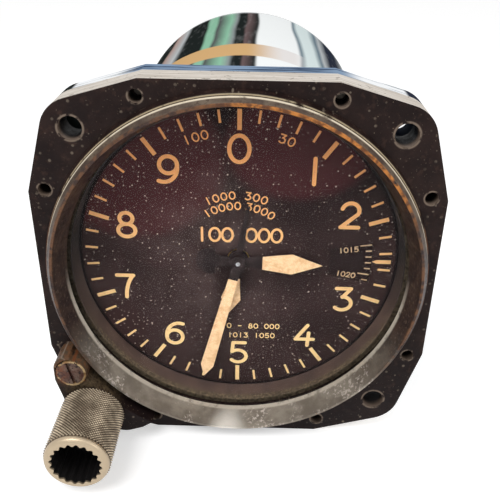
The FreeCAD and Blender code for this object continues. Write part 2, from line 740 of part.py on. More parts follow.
first_phase = math.radians(90)
upper_wheel_phase = mesh_phase(first_phase, size("first_pinion_teeth"), size("first_wheel_teeth"), first_phase)
upper_pinion_phase = math.radians(270)
medium_wheel_phase = mesh_phase(upper_pinion_phase, size("next_pinion_teeth"), size("next_wheel_teeth"),
                                upper_pinion_phase)
medium_pinion_phase = math.radians(270)
lower_wheel_phase = mesh_phase(medium_pinion_phase, size("first_pinion_teeth"), size("first_wheel_teeth"),
                               medium_pinion_phase)
lower_pinion_phase = math.radians(90)
short_wheel_phase = mesh_phase(lower_pinion_phase, size("next_pinion_teeth"), size("next_wheel_teeth"),
                               lower_pinion_phase)

hub = size("hub_radius")
plate_reach = hub - 2 * air
bridge_posts = [polar(hub - 1.7, math.radians(turn)) for turn in (0, 90, 180, 270)]
shaped("bridge_hub", disc(hub, dial_back, bridge_hub_back)
       .fuse(disc(hub + size("hub_lip"), scale_back + size("running"), bridge_hub_back))
       .cut(disc(size("dial_bore"), dial_back - air, bridge_hub_back + air))
       .cut(round_post(upper_stud, size("stud_radius") + play, 0, skirt_back))
       .cut(round_post(lower_stud, size("stud_radius") + play, 0, skirt_back)))
shaped("bridge_posts", Part.makeCompound([round_post(post, 1.0, bridge_hub_back, bridge_rear_front)
                                          for post in bridge_posts]))
shaped("bridge_plate", disc(plate_reach, bridge_rear_front, bridge_rear_front + motion_thick)
       .cut(disc(arbor + play, 0, size("front_plate")))
       .cut(round_post(upper_stud, size("stud_radius") + play, 0, size("front_plate")))
       .cut(round_post(lower_stud, size("stud_radius") + play, 0, size("front_plate"))))
shaped("upper_stud", round_post(upper_stud, size("stud_radius"), dial_back + air / 2, bridge_rear_front + motion_thick))
shaped("lower_stud", round_post(lower_stud, size("stud_radius"), dial_back + air / 2, bridge_rear_front + motion_thick))


def reduction(node, place_at, wheel_level, wheel_phase, pinion_level, pinion_phase):
    """A wheel and the small pinion behind or before it, loose on their stud."""
    front = min(wheel_level, pinion_level)
    pair = gear(size("first_wheel_teeth"), first_module, wheel_level, wheel_level + motion_thick, wheel_phase)
    pair = pair.fuse(gear(size("next_pinion_teeth"), next_module, pinion_level, pinion_level + motion_thick,
                          pinion_phase))
    pair = pair.fuse(disc(2 * size("stud_radius"), front, front + motion_step + motion_thick))
    shaped(node, pair.cut(disc(size("stud_radius") + play, 0, skirt_back * 2)), place_at.x, place_at.z)


reduction("upper_reduction", upper_stud, level(3), upper_wheel_phase, level(2), upper_pinion_phase)
reduction("lower_reduction", lower_stud, level(1), lower_wheel_phase, level(0), lower_pinion_phase)


def tube(inner, outer, front, back):
    return disc(outer, front, back).cut(disc(inner, front - air, back + air))


def pointer_blade(reach, angle, outline, front):
    """A flat blade. The outline gives pairs of reach and half width, from its hub to its tip."""
    side = [FreeCAD.Vector(along, 0, half) for along, half in outline]
    other = [FreeCAD.Vector(along, 0, -half) for along, half in reversed(outline) if half > 0]
    if outline[-1][1] == 0:
        side[-1] = FreeCAD.Vector(reach, 0, 0)
    points = side + other
    blade = Part.Face(Part.makePolygon(points + points[:1])).extrude(FreeCAD.Vector(0, size("pointer_thick"), 0))
    blade.rotate(axis_point, FreeCAD.Vector(0, 1, 0), -math.degrees(clockwise_from_top(angle)))
    blade.translate(FreeCAD.Vector(0, front, 0))
    return blade


long_front = size("long_front")
medium_front = size("medium_front")
short_front = size("short_front")
pointer_gap = 0.05
hub_radius = 1.85

shaped("long_pointer", pointer_blade(size("long_reach"), size("long_angle"),
                                     [(-1.0, 1.0), (4.0, 1.05), (28.2, 1.5), (31.4, 0)], long_front)
       .fuse(disc(hub_radius, long_front - 0.15, medium_front - pointer_gap - 0.15))
       .cut(disc(arbor, 0, medium_front)))

counterweight = Part.makeCylinder(3.2, size("pointer_thick"), FreeCAD.Vector(-5.9, 0, 0), FreeCAD.Vector(0, 1, 0))
counterweight = counterweight.cut(Part.makeBox(4.0, 2.0, 8.0, FreeCAD.Vector(-5.0, -1.0, -4.0)))
counterweight.rotate(axis_point, FreeCAD.Vector(0, 1, 0), -math.degrees(clockwise_from_top(size("medium_angle"))))
counterweight.translate(FreeCAD.Vector(0, medium_front, 0))
shaped("medium_pointer", pointer_blade(size("medium_reach"), size("medium_angle"),
                                       [(-5.1, 1.5), (-1.2, 1.0), (1.2, 1.0), (5.3, 1.55), (11.7, 2.45), (18.3, 0)],
                                       medium_front)
       .fuse(counterweight)
       .fuse(disc(hub_radius + 0.1, medium_front - 0.15, short_front - pointer_gap - 0.15))
       .cut(disc(medium_tube_outer, 0, short_front)))
shaped("short_pointer", pointer_blade(size("short_reach"), size("short_angle"),
                                      [(-13.0, 0.35), (-1.5, 0.8), (1.5, 1.0), (6.0, 1.3), (10.0, 2.2), (14.0, 0)],
                                      short_front)
       .fuse(disc(hub_radius + 0.35, short_front - 0.15, size("dial_front") - 2 * pointer_gap))
       .cut(disc(short_tube_outer, 0, skirt_back)))

shaped("medium_wheel", tube(medium_bush_outer + play, medium_tube_outer, medium_front, level(2) + motion_thick)
       .fuse(gear(size("first_pinion_teeth"), first_module, level(1), level(1) + motion_thick, medium_pinion_phase)
             .cut(disc(medium_tube_outer - wall / 2, 0, skirt_back * 2)))
       .fuse(gear(size("next_wheel_teeth"), next_module, level(2), level(2) + motion_thick, medium_wheel_phase)
             .cut(disc(medium_tube_outer - wall / 2, 0, skirt_back * 2))))
shaped("medium_bush", tube(arbor + play, medium_bush_outer, medium_front + air / 2, level(2) + motion_thick))
shaped("short_wheel", tube(short_bush_outer + play, short_tube_outer, short_front, level(0) + motion_thick)
       .fuse(gear(size("next_wheel_teeth"), next_module, level(0), level(0) + motion_thick, short_wheel_phase)
             .cut(disc(short_tube_outer - wall / 2, 0, skirt_back * 2))))
shaped("short_bush", tube(medium_tube_outer + play, short_bush_outer, short_front + air / 2,
                          level(0) + motion_thick))

# Turntable and plates of the mechanism

turntable = gear(size("ring_teeth"), size("ring_module"), size("ring_front"), ring_gear_back, ring_phase)
turntable = turntable.fuse(disc(size("turntable_journal"), ring_gear_back, size("turntable_back")))
shaped("turntable", turntable.cut(disc(size("turntable_bore"), 0, size("front_plate"))))

pillar_turns = (30, 150, 210, 330)
table_pillar_reach = (size("turntable_bore") + size("turntable_journal")) / 2
shaped("turntable_pillars", Part.makeCompound([
    round_post(polar(table_pillar_reach, math.radians(turn)), 1.2, size("turntable_back"), size("front_plate"))
    for turn in pillar_turns]))

front_plate_back = size("front_plate") + size("plate_thick")
rear_plate_back = size("rear_plate") + size("plate_thick")
rocker_place = FreeCAD.Vector(-size("rocker_x"), 0, 0)
sector_pitch = size("sector_circle_teeth") * size("sector_module") / 2
sector_pinion_pitch = size("sector_pinion_teeth") * size("sector_module") / 2
slope = math.radians(size("sector_slope"))
first_place = rocker_place + polar(sector_pitch + sector_pinion_pitch, slope)
second_reach = (size("second_wheel_teeth") + size("centre_pinion_teeth")) * size("centre_module") / 2
first_second = (size("first_arbor_wheel_teeth") + size("second_pinion_teeth")) * size("centre_module") / 2
second_angle = heading(axis_point, first_place) - triangle_angle(second_reach, first_place.Length, first_second)
second_place = polar(second_reach, second_angle)
pillar_places = [polar(size("pillar_reach"), math.radians(turn)) for turn in pillar_turns]
bore_end = size("rear_plate") * 2


def arbor_hole(place_at, radius):
    return round_post(place_at, radius + play, 0, bore_end)


def plate(node, front, holes):
    """A plate of the mechanism, with a round window over the train and its pivot holes."""
    blank = disc(size("plate_radius"), front, front + size("plate_thick"))
    window = round_post(polar(size("plate_window_reach"), math.radians(285)), size("plate_window"), 0, bore_end)
    shaped(node, blank.cut(window).cut(Part.makeCompound(holes)))


plate("front_plate", size("front_plate"), [
    arbor_hole(axis_point, arbor), arbor_hole(first_place, arbor), arbor_hole(second_place, arbor),
    arbor_hole(rocker_place, size("pivot_radius"))])
plate("rear_plate", size("rear_plate"), [
    arbor_hole(first_place, arbor), arbor_hole(second_place, arbor),
    arbor_hole(rocker_place, size("rocker_radius"))])
shaped("plate_pillars", Part.makeCompound([round_post(spot, size("pillar_radius"), front_plate_back, size("rear_plate"))
                                           for spot in pillar_places]))
shaped("plate_screws", Part.makeCompound([round_post(spot, 2.2, rear_plate_back, rear_plate_back + 1.2)
                                          for spot in pillar_places]))

# Wheels between the aneroid and the long pointer

first_level = size("first_level")
second_level = size("second_level")
third_level = size("third_level")
wheel_thick = size("wheel_thick")

sector_start = slope - math.radians(size("sector_rest")) - 1.5 * 2 * math.pi / size("sector_circle_teeth")
sector_pitch_angle = 2 * math.pi / size("sector_circle_teeth")
sector_steps = round((slope - sector_start) / sector_pitch_angle)
sector_phase = slope - sector_steps * sector_pitch_angle
first_pinion_phase = mesh_phase(slope, size("sector_circle_teeth"), size("sector_pinion_teeth"), slope)
first_wheel_phase = heading(first_place, second_place)
second_pinion_phase = mesh_phase(first_wheel_phase, size("first_arbor_wheel_teeth"), size("second_pinion_teeth"),
                                 first_wheel_phase)
second_wheel_phase = heading(second_place, axis_point)
centre_pinion_phase = mesh_phase(second_wheel_phase, size("second_wheel_teeth"), size("centre_pinion_teeth"),
                                 second_wheel_phase)

cock_back = size("cock_level") + size("plate_thick") * 0.8
shaped("centre_arbor", disc(arbor, long_front - 0.15, cock_back)
       .fuse(gear(size("first_pinion_teeth"), first_module, level(3), level(3) + motion_thick, first_phase))
       .fuse(gear(size("centre_pinion_teeth"), size("centre_module"), first_level - air / 2,
                  first_level + wheel_thick + air / 2, centre_pinion_phase)))

cock_foot = FreeCAD.Vector(-8.0, 0, -2.0)
cock = round_post(cock_foot, 2.0, front_plate_back, cock_back)
cock_arm = Part.makeBox(cock_foot.Length + 1.0, cock_back - size("cock_level"), 3.0,
                        FreeCAD.Vector(-0.5, size("cock_level"), -1.5))
cock_arm.rotate(axis_point, FreeCAD.Vector(0, 1, 0), -math.degrees(heading(axis_point, cock_foot)))
shaped("centre_cock", cock.fuse(cock_arm).fuse(disc(2.0, size("cock_level"), cock_back))
       .cut(disc(arbor + play, 0, bore_end)))

shaped("second_arbor", disc(arbor, size("front_plate") + air, rear_plate_back - air)
       .fuse(disc(2 * arbor, first_level - air, second_level + wheel_thick + air))
       .fuse(gear(size("second_pinion_teeth"), size("centre_module"), second_level - air / 2,
                  second_level + wheel_thick + air / 2, second_pinion_phase)),
       second_place.x, second_place.z)
shaped("second_wheel", gear(size("second_wheel_teeth"), size("centre_module"), first_level,
                            first_level + wheel_thick, second_wheel_phase).cut(disc(2 * arbor, 0, bore_end)),
       second_place.x, second_place.z)
shaped("first_arbor", disc(arbor, size("front_plate") + air, rear_plate_back - air)
       .fuse(disc(2 * arbor, second_level - air, third_level - air))
       .fuse(gear(size("sector_pinion_teeth"), size("sector_module"), third_level - air / 2,
                  third_level + wheel_thick + air / 2, first_pinion_phase)),
       first_place.x, first_place.z)


def spoked(wheel, rim_inner, hub_outer, front, thick, spokes=4):
    """Opens a wheel between its rim and hub, and leaves spokes."""
    turn = 2 * math.pi / spokes
    margin = 0.22
    openings = [ring_sector(hub_outer, rim_inner, i * turn + margin, (i + 1) * turn - margin, front - 1.0,
                            front + thick + 1.0) for i in range(spokes)]
    return wheel.cut(Part.makeCompound(openings))


first_wheel_pitch = size("first_arbor_wheel_teeth") * size("centre_module") / 2
shaped("first_wheel", spoked(gear(size("first_arbor_wheel_teeth"), size("centre_module"), second_level,
                                  second_level + wheel_thick, first_wheel_phase).cut(disc(2 * arbor, 0, bore_end)),
                             first_wheel_pitch - 2.0, 3.0, second_level, wheel_thick),
       first_place.x, first_place.z)

sector_points = gear_outline(size("sector_circle_teeth"), size("sector_module"), sector_phase,
                             size("sector_teeth"), sector_pitch - 3.0)
sector_rim = Part.Face(Part.makePolygon(sector_points + sector_points[:1])).extrude(
    FreeCAD.Vector(0, wheel_thick, 0))
sector_rim.translate(FreeCAD.Vector(0, third_level, 0))
sector_middle = sector_phase + (size("sector_teeth") - 1) / 2 * sector_pitch_angle
sector_arms = []
for lean in (-0.32, 0.32):
    arm = Part.makeBox(sector_pitch - 2.0, wheel_thick, 1.8, FreeCAD.Vector(0, third_level, -0.9))
    arm.rotate(axis_point, FreeCAD.Vector(0, 1, 0), -math.degrees(sector_middle + lean))
    sector_arms.append(arm)
balance = Part.makeBox(6.0, wheel_thick, 4.0, FreeCAD.Vector(-7.0, third_level, -2.0))
balance.rotate(axis_point, FreeCAD.Vector(0, 1, 0), -math.degrees(sector_middle))
shaped("sector_gear", sector_rim.multiFuse(sector_arms + [balance, disc(3.0, third_level, third_level + wheel_thick)])
       .cut(disc(size("rocker_radius"), 0, bore_end)), rocker_place.x, rocker_place.z)
shaped("rocking_shaft", disc(size("pivot_radius"), size("front_plate") + air, front_plate_back + air)
       .fuse(disc(size("rocker_radius"), front_plate_back + air, size("arm_level") + size("arm_thick") + air)),
       rocker_place.x, rocker_place.z)

# Aneroid capsules, their bracket, the push rod and the slotted arm

arm_reach = size("arm_reach")
arm_angle = math.radians(90 + size("arm_lean"))
arm_back = size("arm_level") + size("arm_thick")
arm_slot_play = 0.2
arm_plate = Part.makeBox(arm_reach + 2.2, size("arm_thick"), 3.4, FreeCAD.Vector(0, size("arm_level"), -1.7))
arm_slot = Part.makeBox(2.0, 3.0, 2 * (size("pin_radius") + arm_slot_play),
                        FreeCAD.Vector(arm_reach - 1.0, size("arm_level") - 1.0, -size("pin_radius") - arm_slot_play))
slotted_arm = arm_plate.cut(arm_slot)
slotted_arm.rotate(axis_point, FreeCAD.Vector(0, 1, 0), -math.degrees(arm_angle))
shaped("slotted_arm", slotted_arm.fuse(disc(2.6, size("arm_level"), arm_back))
       .cut(disc(size("rocker_radius"), 0, 2 * bore_end)), rocker_place.x, rocker_place.z)

pin_place = rocker_place + polar(arm_reach, arm_angle)
stack_free = size("bracket_x") - size("capsule_count") * size("capsule_pitch")
rod_block = size("rod_block")
push_rod = Part.makeCylinder(size("rod_radius"), stack_free - pin_place.x + size("guide_overlap"),
                             FreeCAD.Vector(pin_place.x, size("rod_level"), pin_place.z),
                             FreeCAD.Vector(1, 0, 0))
push_rod = push_rod.fuse(Part.makeBox(rod_block, rod_block, rod_block,
                                      pin_place + FreeCAD.Vector(-rod_block / 2, size("rod_level") - rod_block / 2,
                                                                 -rod_block / 2)))
push_rod = push_rod.fuse(round_post(pin_place, size("pin_radius"), size("arm_level") - air, size("rod_level")))
shaped("push_rod", push_rod)


def capsule(x_free):
    """One sealed capsule: two corrugated diaphragms joined at the rim, with a boss between neighbours."""
    radius = size("capsule_radius")
    pitch = size("capsule_pitch")
    half = 0.36 * pitch
    section = [(0, 0), (3.0, 0), (3.0, 0.14 * pitch), (0.45 * radius, 0.5 * pitch - half),
               (0.6 * radius, 0.5 * pitch - half + 0.7), (0.78 * radius, 0.5 * pitch - half),
               (radius, 0.5 * pitch - 0.3)]
    mirrored = [(across, pitch - along) for across, along in reversed(section)]
    points = [FreeCAD.Vector(x_free + along, size("rod_level"), pin_place.z + across)
              for across, along in section + mirrored]
    face = Part.Face(Part.makePolygon(points + points[:1]))
    return face.revolve(FreeCAD.Vector(0, size("rod_level"), pin_place.z), FreeCAD.Vector(1, 0, 0), 360)


rod_guide = Part.makeCylinder(size("rod_radius") + play, size("guide_depth") + air,
                              FreeCAD.Vector(stack_free - air, size("rod_level"), pin_place.z),
                              FreeCAD.Vector(1, 0, 0))
for number in range(int(size("capsule_count"))):
    shaped("aneroid_capsule_%d" % (number + 1),
           capsule(stack_free + number * size("capsule_pitch")).cut(rod_guide))

bracket_x = size("bracket_x")
bracket_thick = size("bracket_thick")
bracket_half = 6.8
bracket_wall = Part.makeBox(bracket_thick, size("rod_level") + 6.0 - rear_plate_back, 2 * bracket_half,
                            FreeCAD.Vector(bracket_x, rear_plate_back, pin_place.z - bracket_half))
bracket_foot = Part.makeBox(9.0, bracket_thick, 2 * bracket_half,
                            FreeCAD.Vector(bracket_x - 9.0, rear_plate_back, pin_place.z - bracket_half))
shaped("capsule_bracket", bracket_wall.fuse(bracket_foot))

# Every piece has to be whole before anything is written

doc.recompute()
for item in doc.Objects:
    for trouble in ("Invalid", "Error"):
        if trouble in item.State:
            raise RuntimeError("%s is %s" % (item.Label, trouble))
for item in nodes:
    if item.Shape.isNull() or not item.Shape.isValid():
        raise RuntimeError("%s has no valid shape" % item.Label)
for item in nodes:
    item.Shape.exportStep("parts/%s.step" % item.Label)
    print("%-22s %2d solids %10.2f mm3" % (item.Label, len(item.Shape.Solids), item.Shape.Volume))
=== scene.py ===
import bmesh
import bpy
import json
import math
from mathutils import Matrix, Vector


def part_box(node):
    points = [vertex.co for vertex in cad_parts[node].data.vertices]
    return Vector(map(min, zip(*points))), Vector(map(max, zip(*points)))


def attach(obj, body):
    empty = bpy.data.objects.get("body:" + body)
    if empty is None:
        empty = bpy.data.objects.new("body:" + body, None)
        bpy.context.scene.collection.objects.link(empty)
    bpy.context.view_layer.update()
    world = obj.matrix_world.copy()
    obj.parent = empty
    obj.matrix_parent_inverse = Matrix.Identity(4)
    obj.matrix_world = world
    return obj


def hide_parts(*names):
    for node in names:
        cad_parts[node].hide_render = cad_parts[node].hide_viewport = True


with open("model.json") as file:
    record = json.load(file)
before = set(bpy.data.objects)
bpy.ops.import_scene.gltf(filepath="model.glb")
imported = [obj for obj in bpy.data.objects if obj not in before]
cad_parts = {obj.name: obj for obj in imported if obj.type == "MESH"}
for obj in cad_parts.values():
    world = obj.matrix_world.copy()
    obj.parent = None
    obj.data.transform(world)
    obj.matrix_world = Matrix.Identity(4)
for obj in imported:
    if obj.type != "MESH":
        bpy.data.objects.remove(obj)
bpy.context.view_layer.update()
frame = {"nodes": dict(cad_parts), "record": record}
nodes = frame["nodes"]
scene = bpy.context.scene

# All sizes below are in millimetres, and meshes are brought to metres when a piece is finished.
# The dial faces -Y, +X is to the right of someone facing it, and turns count clockwise from the top.
MM = 0.001
DIAL_FRONT = 8.5
SCALE_FRONT = 9.3
FLOOR_LEVEL = -41.0

# Camera, placed as the photographer held it

camera_data = bpy.data.cameras.new("camera")
camera_data.sensor_width = 36.0
camera_data.lens = 48.16
camera_data.clip_start = 0.01
camera = bpy.data.objects.new("camera", camera_data)
scene.collection.objects.link(camera)
VIEW_RIGHT = Vector((0.9997, 0.0203, 0.0165))
VIEW_UP = Vector((-0.0241, 0.4703, 0.8822))
VIEW_AHEAD = Vector((-0.0102, 0.8823, -0.4707))
turned = Matrix((VIEW_RIGHT, VIEW_UP, -VIEW_AHEAD)).transposed().to_4x4()
turned.normalize()
camera.matrix_world = Matrix.Translation(Vector((4.0, -120.0, 70.6)) * MM) @ turned
scene.camera = camera
scene.view_settings.view_transform = "Standard"


# Node trees: shared effects

def new_group(name, inputs, outputs):
    """A shader node group. Inputs are (name, kind, value) and outputs are (name, kind)."""
    group = bpy.data.node_groups.new(name, "ShaderNodeTree")
    for label, kind, value in inputs:
        socket = group.interface.new_socket(name=label, in_out="INPUT", socket_type=kind)
        if value is not None:
            socket.default_value = value
    for label, kind in outputs:
        group.interface.new_socket(name=label, in_out="OUTPUT", socket_type=kind)
    return Wires(group, group.nodes.new("NodeGroupInput"), group.nodes.new("NodeGroupOutput"))


FLOAT = "NodeSocketFloat"
VECTOR = "NodeSocketVector"


class Wires:
    """Adds nodes to one tree. Every method takes plain values or sockets and returns a socket."""

    def __init__(self, tree, start=None, end=None):
        self.tree = tree
        self.start = start
        self.end = end

    def feed(self, socket, value):
        if isinstance(value, bpy.types.NodeSocket):
            self.tree.links.new(value, socket)
        else:
            socket.default_value = value

    def give(self, label, value):
        self.feed(self.end.inputs[label], value)

    def node(self, kind, inputs=None, **settings):
        node = self.tree.nodes.new(kind)
        for key, value in settings.items():
            setattr(node, key, value)
        for key, value in (inputs or {}).items():
            self.feed(node.inputs[key], value)
        return node

    def math(self, operation, first, second=0.0, third=None, clamp=False):
        inputs = {0: first, 1: second}
        if third is not None:
            inputs[2] = third
        return self.node("ShaderNodeMath", inputs, operation=operation, use_clamp=clamp).outputs[0]

    def plus(self, first, second):
        return self.math("ADD", first, second)

    def less(self, first, second):
        return self.math("SUBTRACT", first, second)

    def both(self, first, second):
        return self.math("MULTIPLY", first, second)

    def size(self, value):
        return self.math("ABSOLUTE", value)

    def either(self, first, second):
        return self.math("MAXIMUM", first, second)

    def inverse(self, value):
        return self.math("SUBTRACT", 1.0, value, clamp=True)

    def span(self, value, low, high, start=0.0, finish=1.0):
        inputs = {"Value": value, "From Min": low, "From Max": high, "To Min": start, "To Max": finish}
        return self.node("ShaderNodeMapRange", inputs, interpolation_type="SMOOTHSTEP").outputs["Result"]

    def mix(self, share, first, second):
        node = self.node("ShaderNodeMix", {"Factor": share}, data_type="RGBA")
        self.feed(node.inputs[6], first)
        self.feed(node.inputs[7], second)
        return node.outputs[2]

    def over(self, under, colour, mask, share):
        """Lays a colour over another one where the mask is, as strongly as the share."""
        return self.mix(self.both(mask, share), under, colour)

    def blend(self, share, first, second):
        return self.node("ShaderNodeMix", {0: share, 2: first, 3: second}, data_type="FLOAT").outputs[0]

    def noise(self, place, scale, detail):
        inputs = {"Vector": place, "Scale": scale, "Detail": detail}
        return self.node("ShaderNodeTexNoise", inputs).outputs[0]

    def distance(self, first, second):
        inputs = {0: first, 1: second}
        return self.node("ShaderNodeVectorMath", inputs, operation="DISTANCE").outputs["Value"]

    def apart(self, vector):
        parts = self.node("ShaderNodeSeparateXYZ", {0: vector}).outputs
        return parts[0], parts[1], parts[2]

    def joined(self, x, y, z):
        return self.node("ShaderNodeCombineXYZ", {0: x, 1: y, 2: z}).outputs[0]

    def seen_directly(self):
        """One where a surface is seen by the camera, in a mirror or through glass."""
        rays = self.node("ShaderNodeLightPath").outputs
        bent = self.either(rays["Is Glossy Ray"], rays["Is Transmission Ray"])
        return self.either(rays["Is Camera Ray"], bent)

    def use(self, group, **values):
        node = self.tree.nodes.new("ShaderNodeGroup")
        node.node_tree = group
        for key, value in values.items():
            self.feed(node.inputs[key.replace("_", " ")], value)
        return node.outputs


def make_round_place():
    wires = new_group("place_round_the_axis", [("Place", VECTOR, None)],
                      [("Radius", FLOAT), ("Turn", FLOAT), ("Depth", FLOAT), ("Rolled", VECTOR)])
    x, y, z = wires.apart(wires.start.outputs["Place"])
    radius = wires.math("SQRT", wires.plus(wires.both(x, x), wires.both(z, z)))
    turn = wires.math("DIVIDE", wires.math("ARCTAN2", x, z), 2 * math.pi)
    wires.give("Radius", radius)
    wires.give("Turn", turn)
    wires.give("Depth", y)
    wires.give("Rolled", wires.joined(radius, y, turn))
    return wires.tree


def make_patches():
    wires = new_group("patches", [("Place", VECTOR, None), ("Scale", FLOAT, 1.0), ("Detail", FLOAT, 4.0),
                                  ("Bend", FLOAT, 0.0), ("Low", FLOAT, 0.45), ("High", FLOAT, 0.55)],
                      [("Mask", FLOAT)])
    inputs = wires.start.outputs
    noise = wires.node("ShaderNodeTexNoise", {"Vector": inputs["Place"], "Scale": inputs["Scale"],
                                              "Detail": inputs["Detail"], "Distortion": inputs["Bend"],
                                              "Roughness": 0.6})
    wires.give("Mask", wires.span(noise.outputs[0], inputs["Low"], inputs["High"]))
    return wires.tree


def make_specks(name, flat):
    """Scattered dots, in space or, flat, on a face that looks along the axis."""
    wires = new_group(name, [("Place", VECTOR, None), ("Scale", FLOAT, 1.0), ("Size", FLOAT, 0.2),
                                 ("Share", FLOAT, 0.3)], [("Mask", FLOAT)])
    inputs = wires.start.outputs
    x, y, z = wires.apart(inputs["Place"])
    cells = wires.node("ShaderNodeTexVoronoi", {"Vector": wires.joined(x, z, 0.0 if flat else y),
                                                "Scale": inputs["Scale"]},
                       voronoi_dimensions="2D" if flat else "3D")
    chance = wires.node("ShaderNodeSeparateColor", {0: cells.outputs["Color"]}).outputs
    size = wires.both(inputs["Size"], wires.plus(chance[1], 0.35))
    near = wires.span(cells.outputs["Distance"], wires.both(size, 0.5), size, 1.0, 0.0)
    chosen = wires.math("LESS_THAN", chance[0], inputs["Share"])
    strength = wires.plus(wires.both(chance[2], 0.7), 0.3)
    wires.give("Mask", wires.both(wires.both(near, chosen), strength))
    return wires.tree


def make_band():
    wires = new_group("band", [("Value", FLOAT, 0.0), ("From", FLOAT, 0.0), ("To", FLOAT, 1.0),
                               ("Soft", FLOAT, 0.1)], [("Mask", FLOAT)])
    inputs = wires.start.outputs
    half = wires.both(inputs["Soft"], 0.5)
    rise = wires.span(inputs["Value"], wires.less(inputs["From"], half),
                      wires.plus(inputs["From"], half))
    fall = wires.span(inputs["Value"], wires.less(inputs["To"], half),
                      wires.plus(inputs["To"], half), 1.0, 0.0)
    wires.give("Mask", wires.both(rise, fall))
    return wires.tree


def make_spot():
    wires = new_group("spot", [("Place", VECTOR, None), ("Across", FLOAT, 0.0), ("Up", FLOAT, 0.0),
                               ("Half Width", FLOAT, 5.0), ("Half Height", FLOAT, 5.0), ("Soft", FLOAT, 0.3)],
                      [("Mask", FLOAT)])
    inputs = wires.start.outputs
    x, _, z = wires.apart(inputs["Place"])
    across = wires.math("DIVIDE", wires.less(x, inputs["Across"]), inputs["Half Width"])
    up = wires.math("DIVIDE", wires.less(z, inputs["Up"]), inputs["Half Height"])
    reach = wires.math("SQRT", wires.plus(wires.both(across, across), wires.both(up, up)))
    low = wires.less(1.0, inputs["Soft"])
    high = wires.plus(1.0, inputs["Soft"])
    wires.give("Mask", wires.span(reach, low, high, 1.0, 0.0))
    return wires.tree


ROUND_PLACE = make_round_place()
PATCHES = make_patches()
SPECKS = make_specks("specks", False)
FLAT_SPECKS = make_specks("flat_specks", True)
BAND = make_band()
SPOT = make_spot()


def shade(red, green, sky_reflection):
    """A colour read as it looks on screen, from 0 to 255, as the shader wants it."""
    def linear(value):
        value = value / 255
        return value / 12.92 if value <= 0.04045 else ((value + 0.055) / 1.055) ** 2.4
    return linear(red), linear(green), linear(sky_reflection), 1.0


class Finish(Wires):
    """One material. The place is the piece's own object coordinates, in millimetres."""

    def __init__(self, name, metallic=0.0, roughness=0.5, **fixed):
        self.material = bpy.data.materials.new(name)
        self.material.use_nodes = True
        super().__init__(self.material.node_tree)
        self.shader = self.tree.nodes["Principled BSDF"]
        self.shader.inputs["Metallic"].default_value = metallic
        self.shader.inputs["Roughness"].default_value = roughness
        for key, value in fixed.items():
            self.shader.inputs[key.replace("_", " ")].default_value = value
        coordinates = self.node("ShaderNodeTexCoord").outputs["Object"]
        self.place = self.node("ShaderNodeVectorMath", {0: coordinates, "Scale": 1000.0},
                               operation="SCALE").outputs[0]

    def paint(self, colour=None, roughness=None, metallic=None, height=None, strength=0.5, distance=0.05):
        """Wires up the shader. The height is that of a bump, and its distance is in millimetres."""
        for key, value in (("Base Color", colour), ("Roughness", roughness), ("Metallic", metallic)):
            if value is not None:
                self.feed(self.shader.inputs[key], value)
        if height is not None:
            inputs = {"Height": height, "Strength": strength, "Distance": distance * MM}
            bump = self.node("ShaderNodeBump", inputs)
            self.feed(self.shader.inputs["Normal"], bump.outputs[0])
        return self.material

    def patches(self, scale, low=0.45, high=0.55, detail=4.0, bend=0.0):
        return self.use(PATCHES, Place=self.place, Scale=scale, Detail=detail, Bend=bend, Low=low,
                        High=high)["Mask"]

    def mottled(self, first, second, *patches, **more):
        return self.mix(self.patches(*patches, **more), first, second)

    def broken(self, mask, *patches):
        """A mask that shows in patches only."""
        return self.both(mask, self.patches(*patches))

    def specks(self, scale, size=0.2, share=0.3, group=SPECKS):
        return self.use(group, Place=self.place, Scale=scale, Size=size, Share=share)["Mask"]

    def band(self, value, low, high, soft):
        return self.use(BAND, Value=value, From=low, To=high, Soft=soft)["Mask"]

    def spot(self, across, up, half_width, half_height, soft=0.3):
        return self.use(SPOT, Place=self.place, Across=across, Up=up, Half_Width=half_width,
                        Half_Height=half_height, Soft=soft)["Mask"]

    def round_place(self):
        return self.use(ROUND_PLACE, Place=self.place)


# Places of the holes in the flange, folded onto one eighth of the face

MOUNT_REACH = 31.43
SMALL_NEAR = 18.85
SMALL_FAR = 37.75

# Sizes of the knob, the first ones as the frame gives them, and of its knurl and socket

knob_low, knob_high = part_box("knob")
KNOB_X = (knob_low[0] + knob_high[0]) / 2 / MM
KNOB_Z = (knob_low[2] + knob_high[2]) / 2 / MM
KNOB_RADIUS = (knob_high[0] - knob_low[0]) / 2 / MM
KNOB_FRONT = -knob_low[1] / MM
KNOB_BACK = -knob_high[1] / MM
KNOB_LIP = 1.2
KNOB_ROUND = 1.1
KNOB_STEPS = 120
KNOB_BACK_RING = 3.0
KNURL_DEEP = 0.26
KNURL_PROUD = 0.03
KNURL_SHORT = 0.3
KNURL_AROUND = 60
KNURL_ROWS = 42
KNURL_INSIDE = 6.2
SOCKET_RADIUS = 4.9
SOCKET_TOOTH = 0.5
SOCKET_TEETH = 20
SOCKET_PROFILE = (0.0, 0.0, 0.5, 1.0, 1.0, 0.5)
SOCKET_DEEP = 8.95
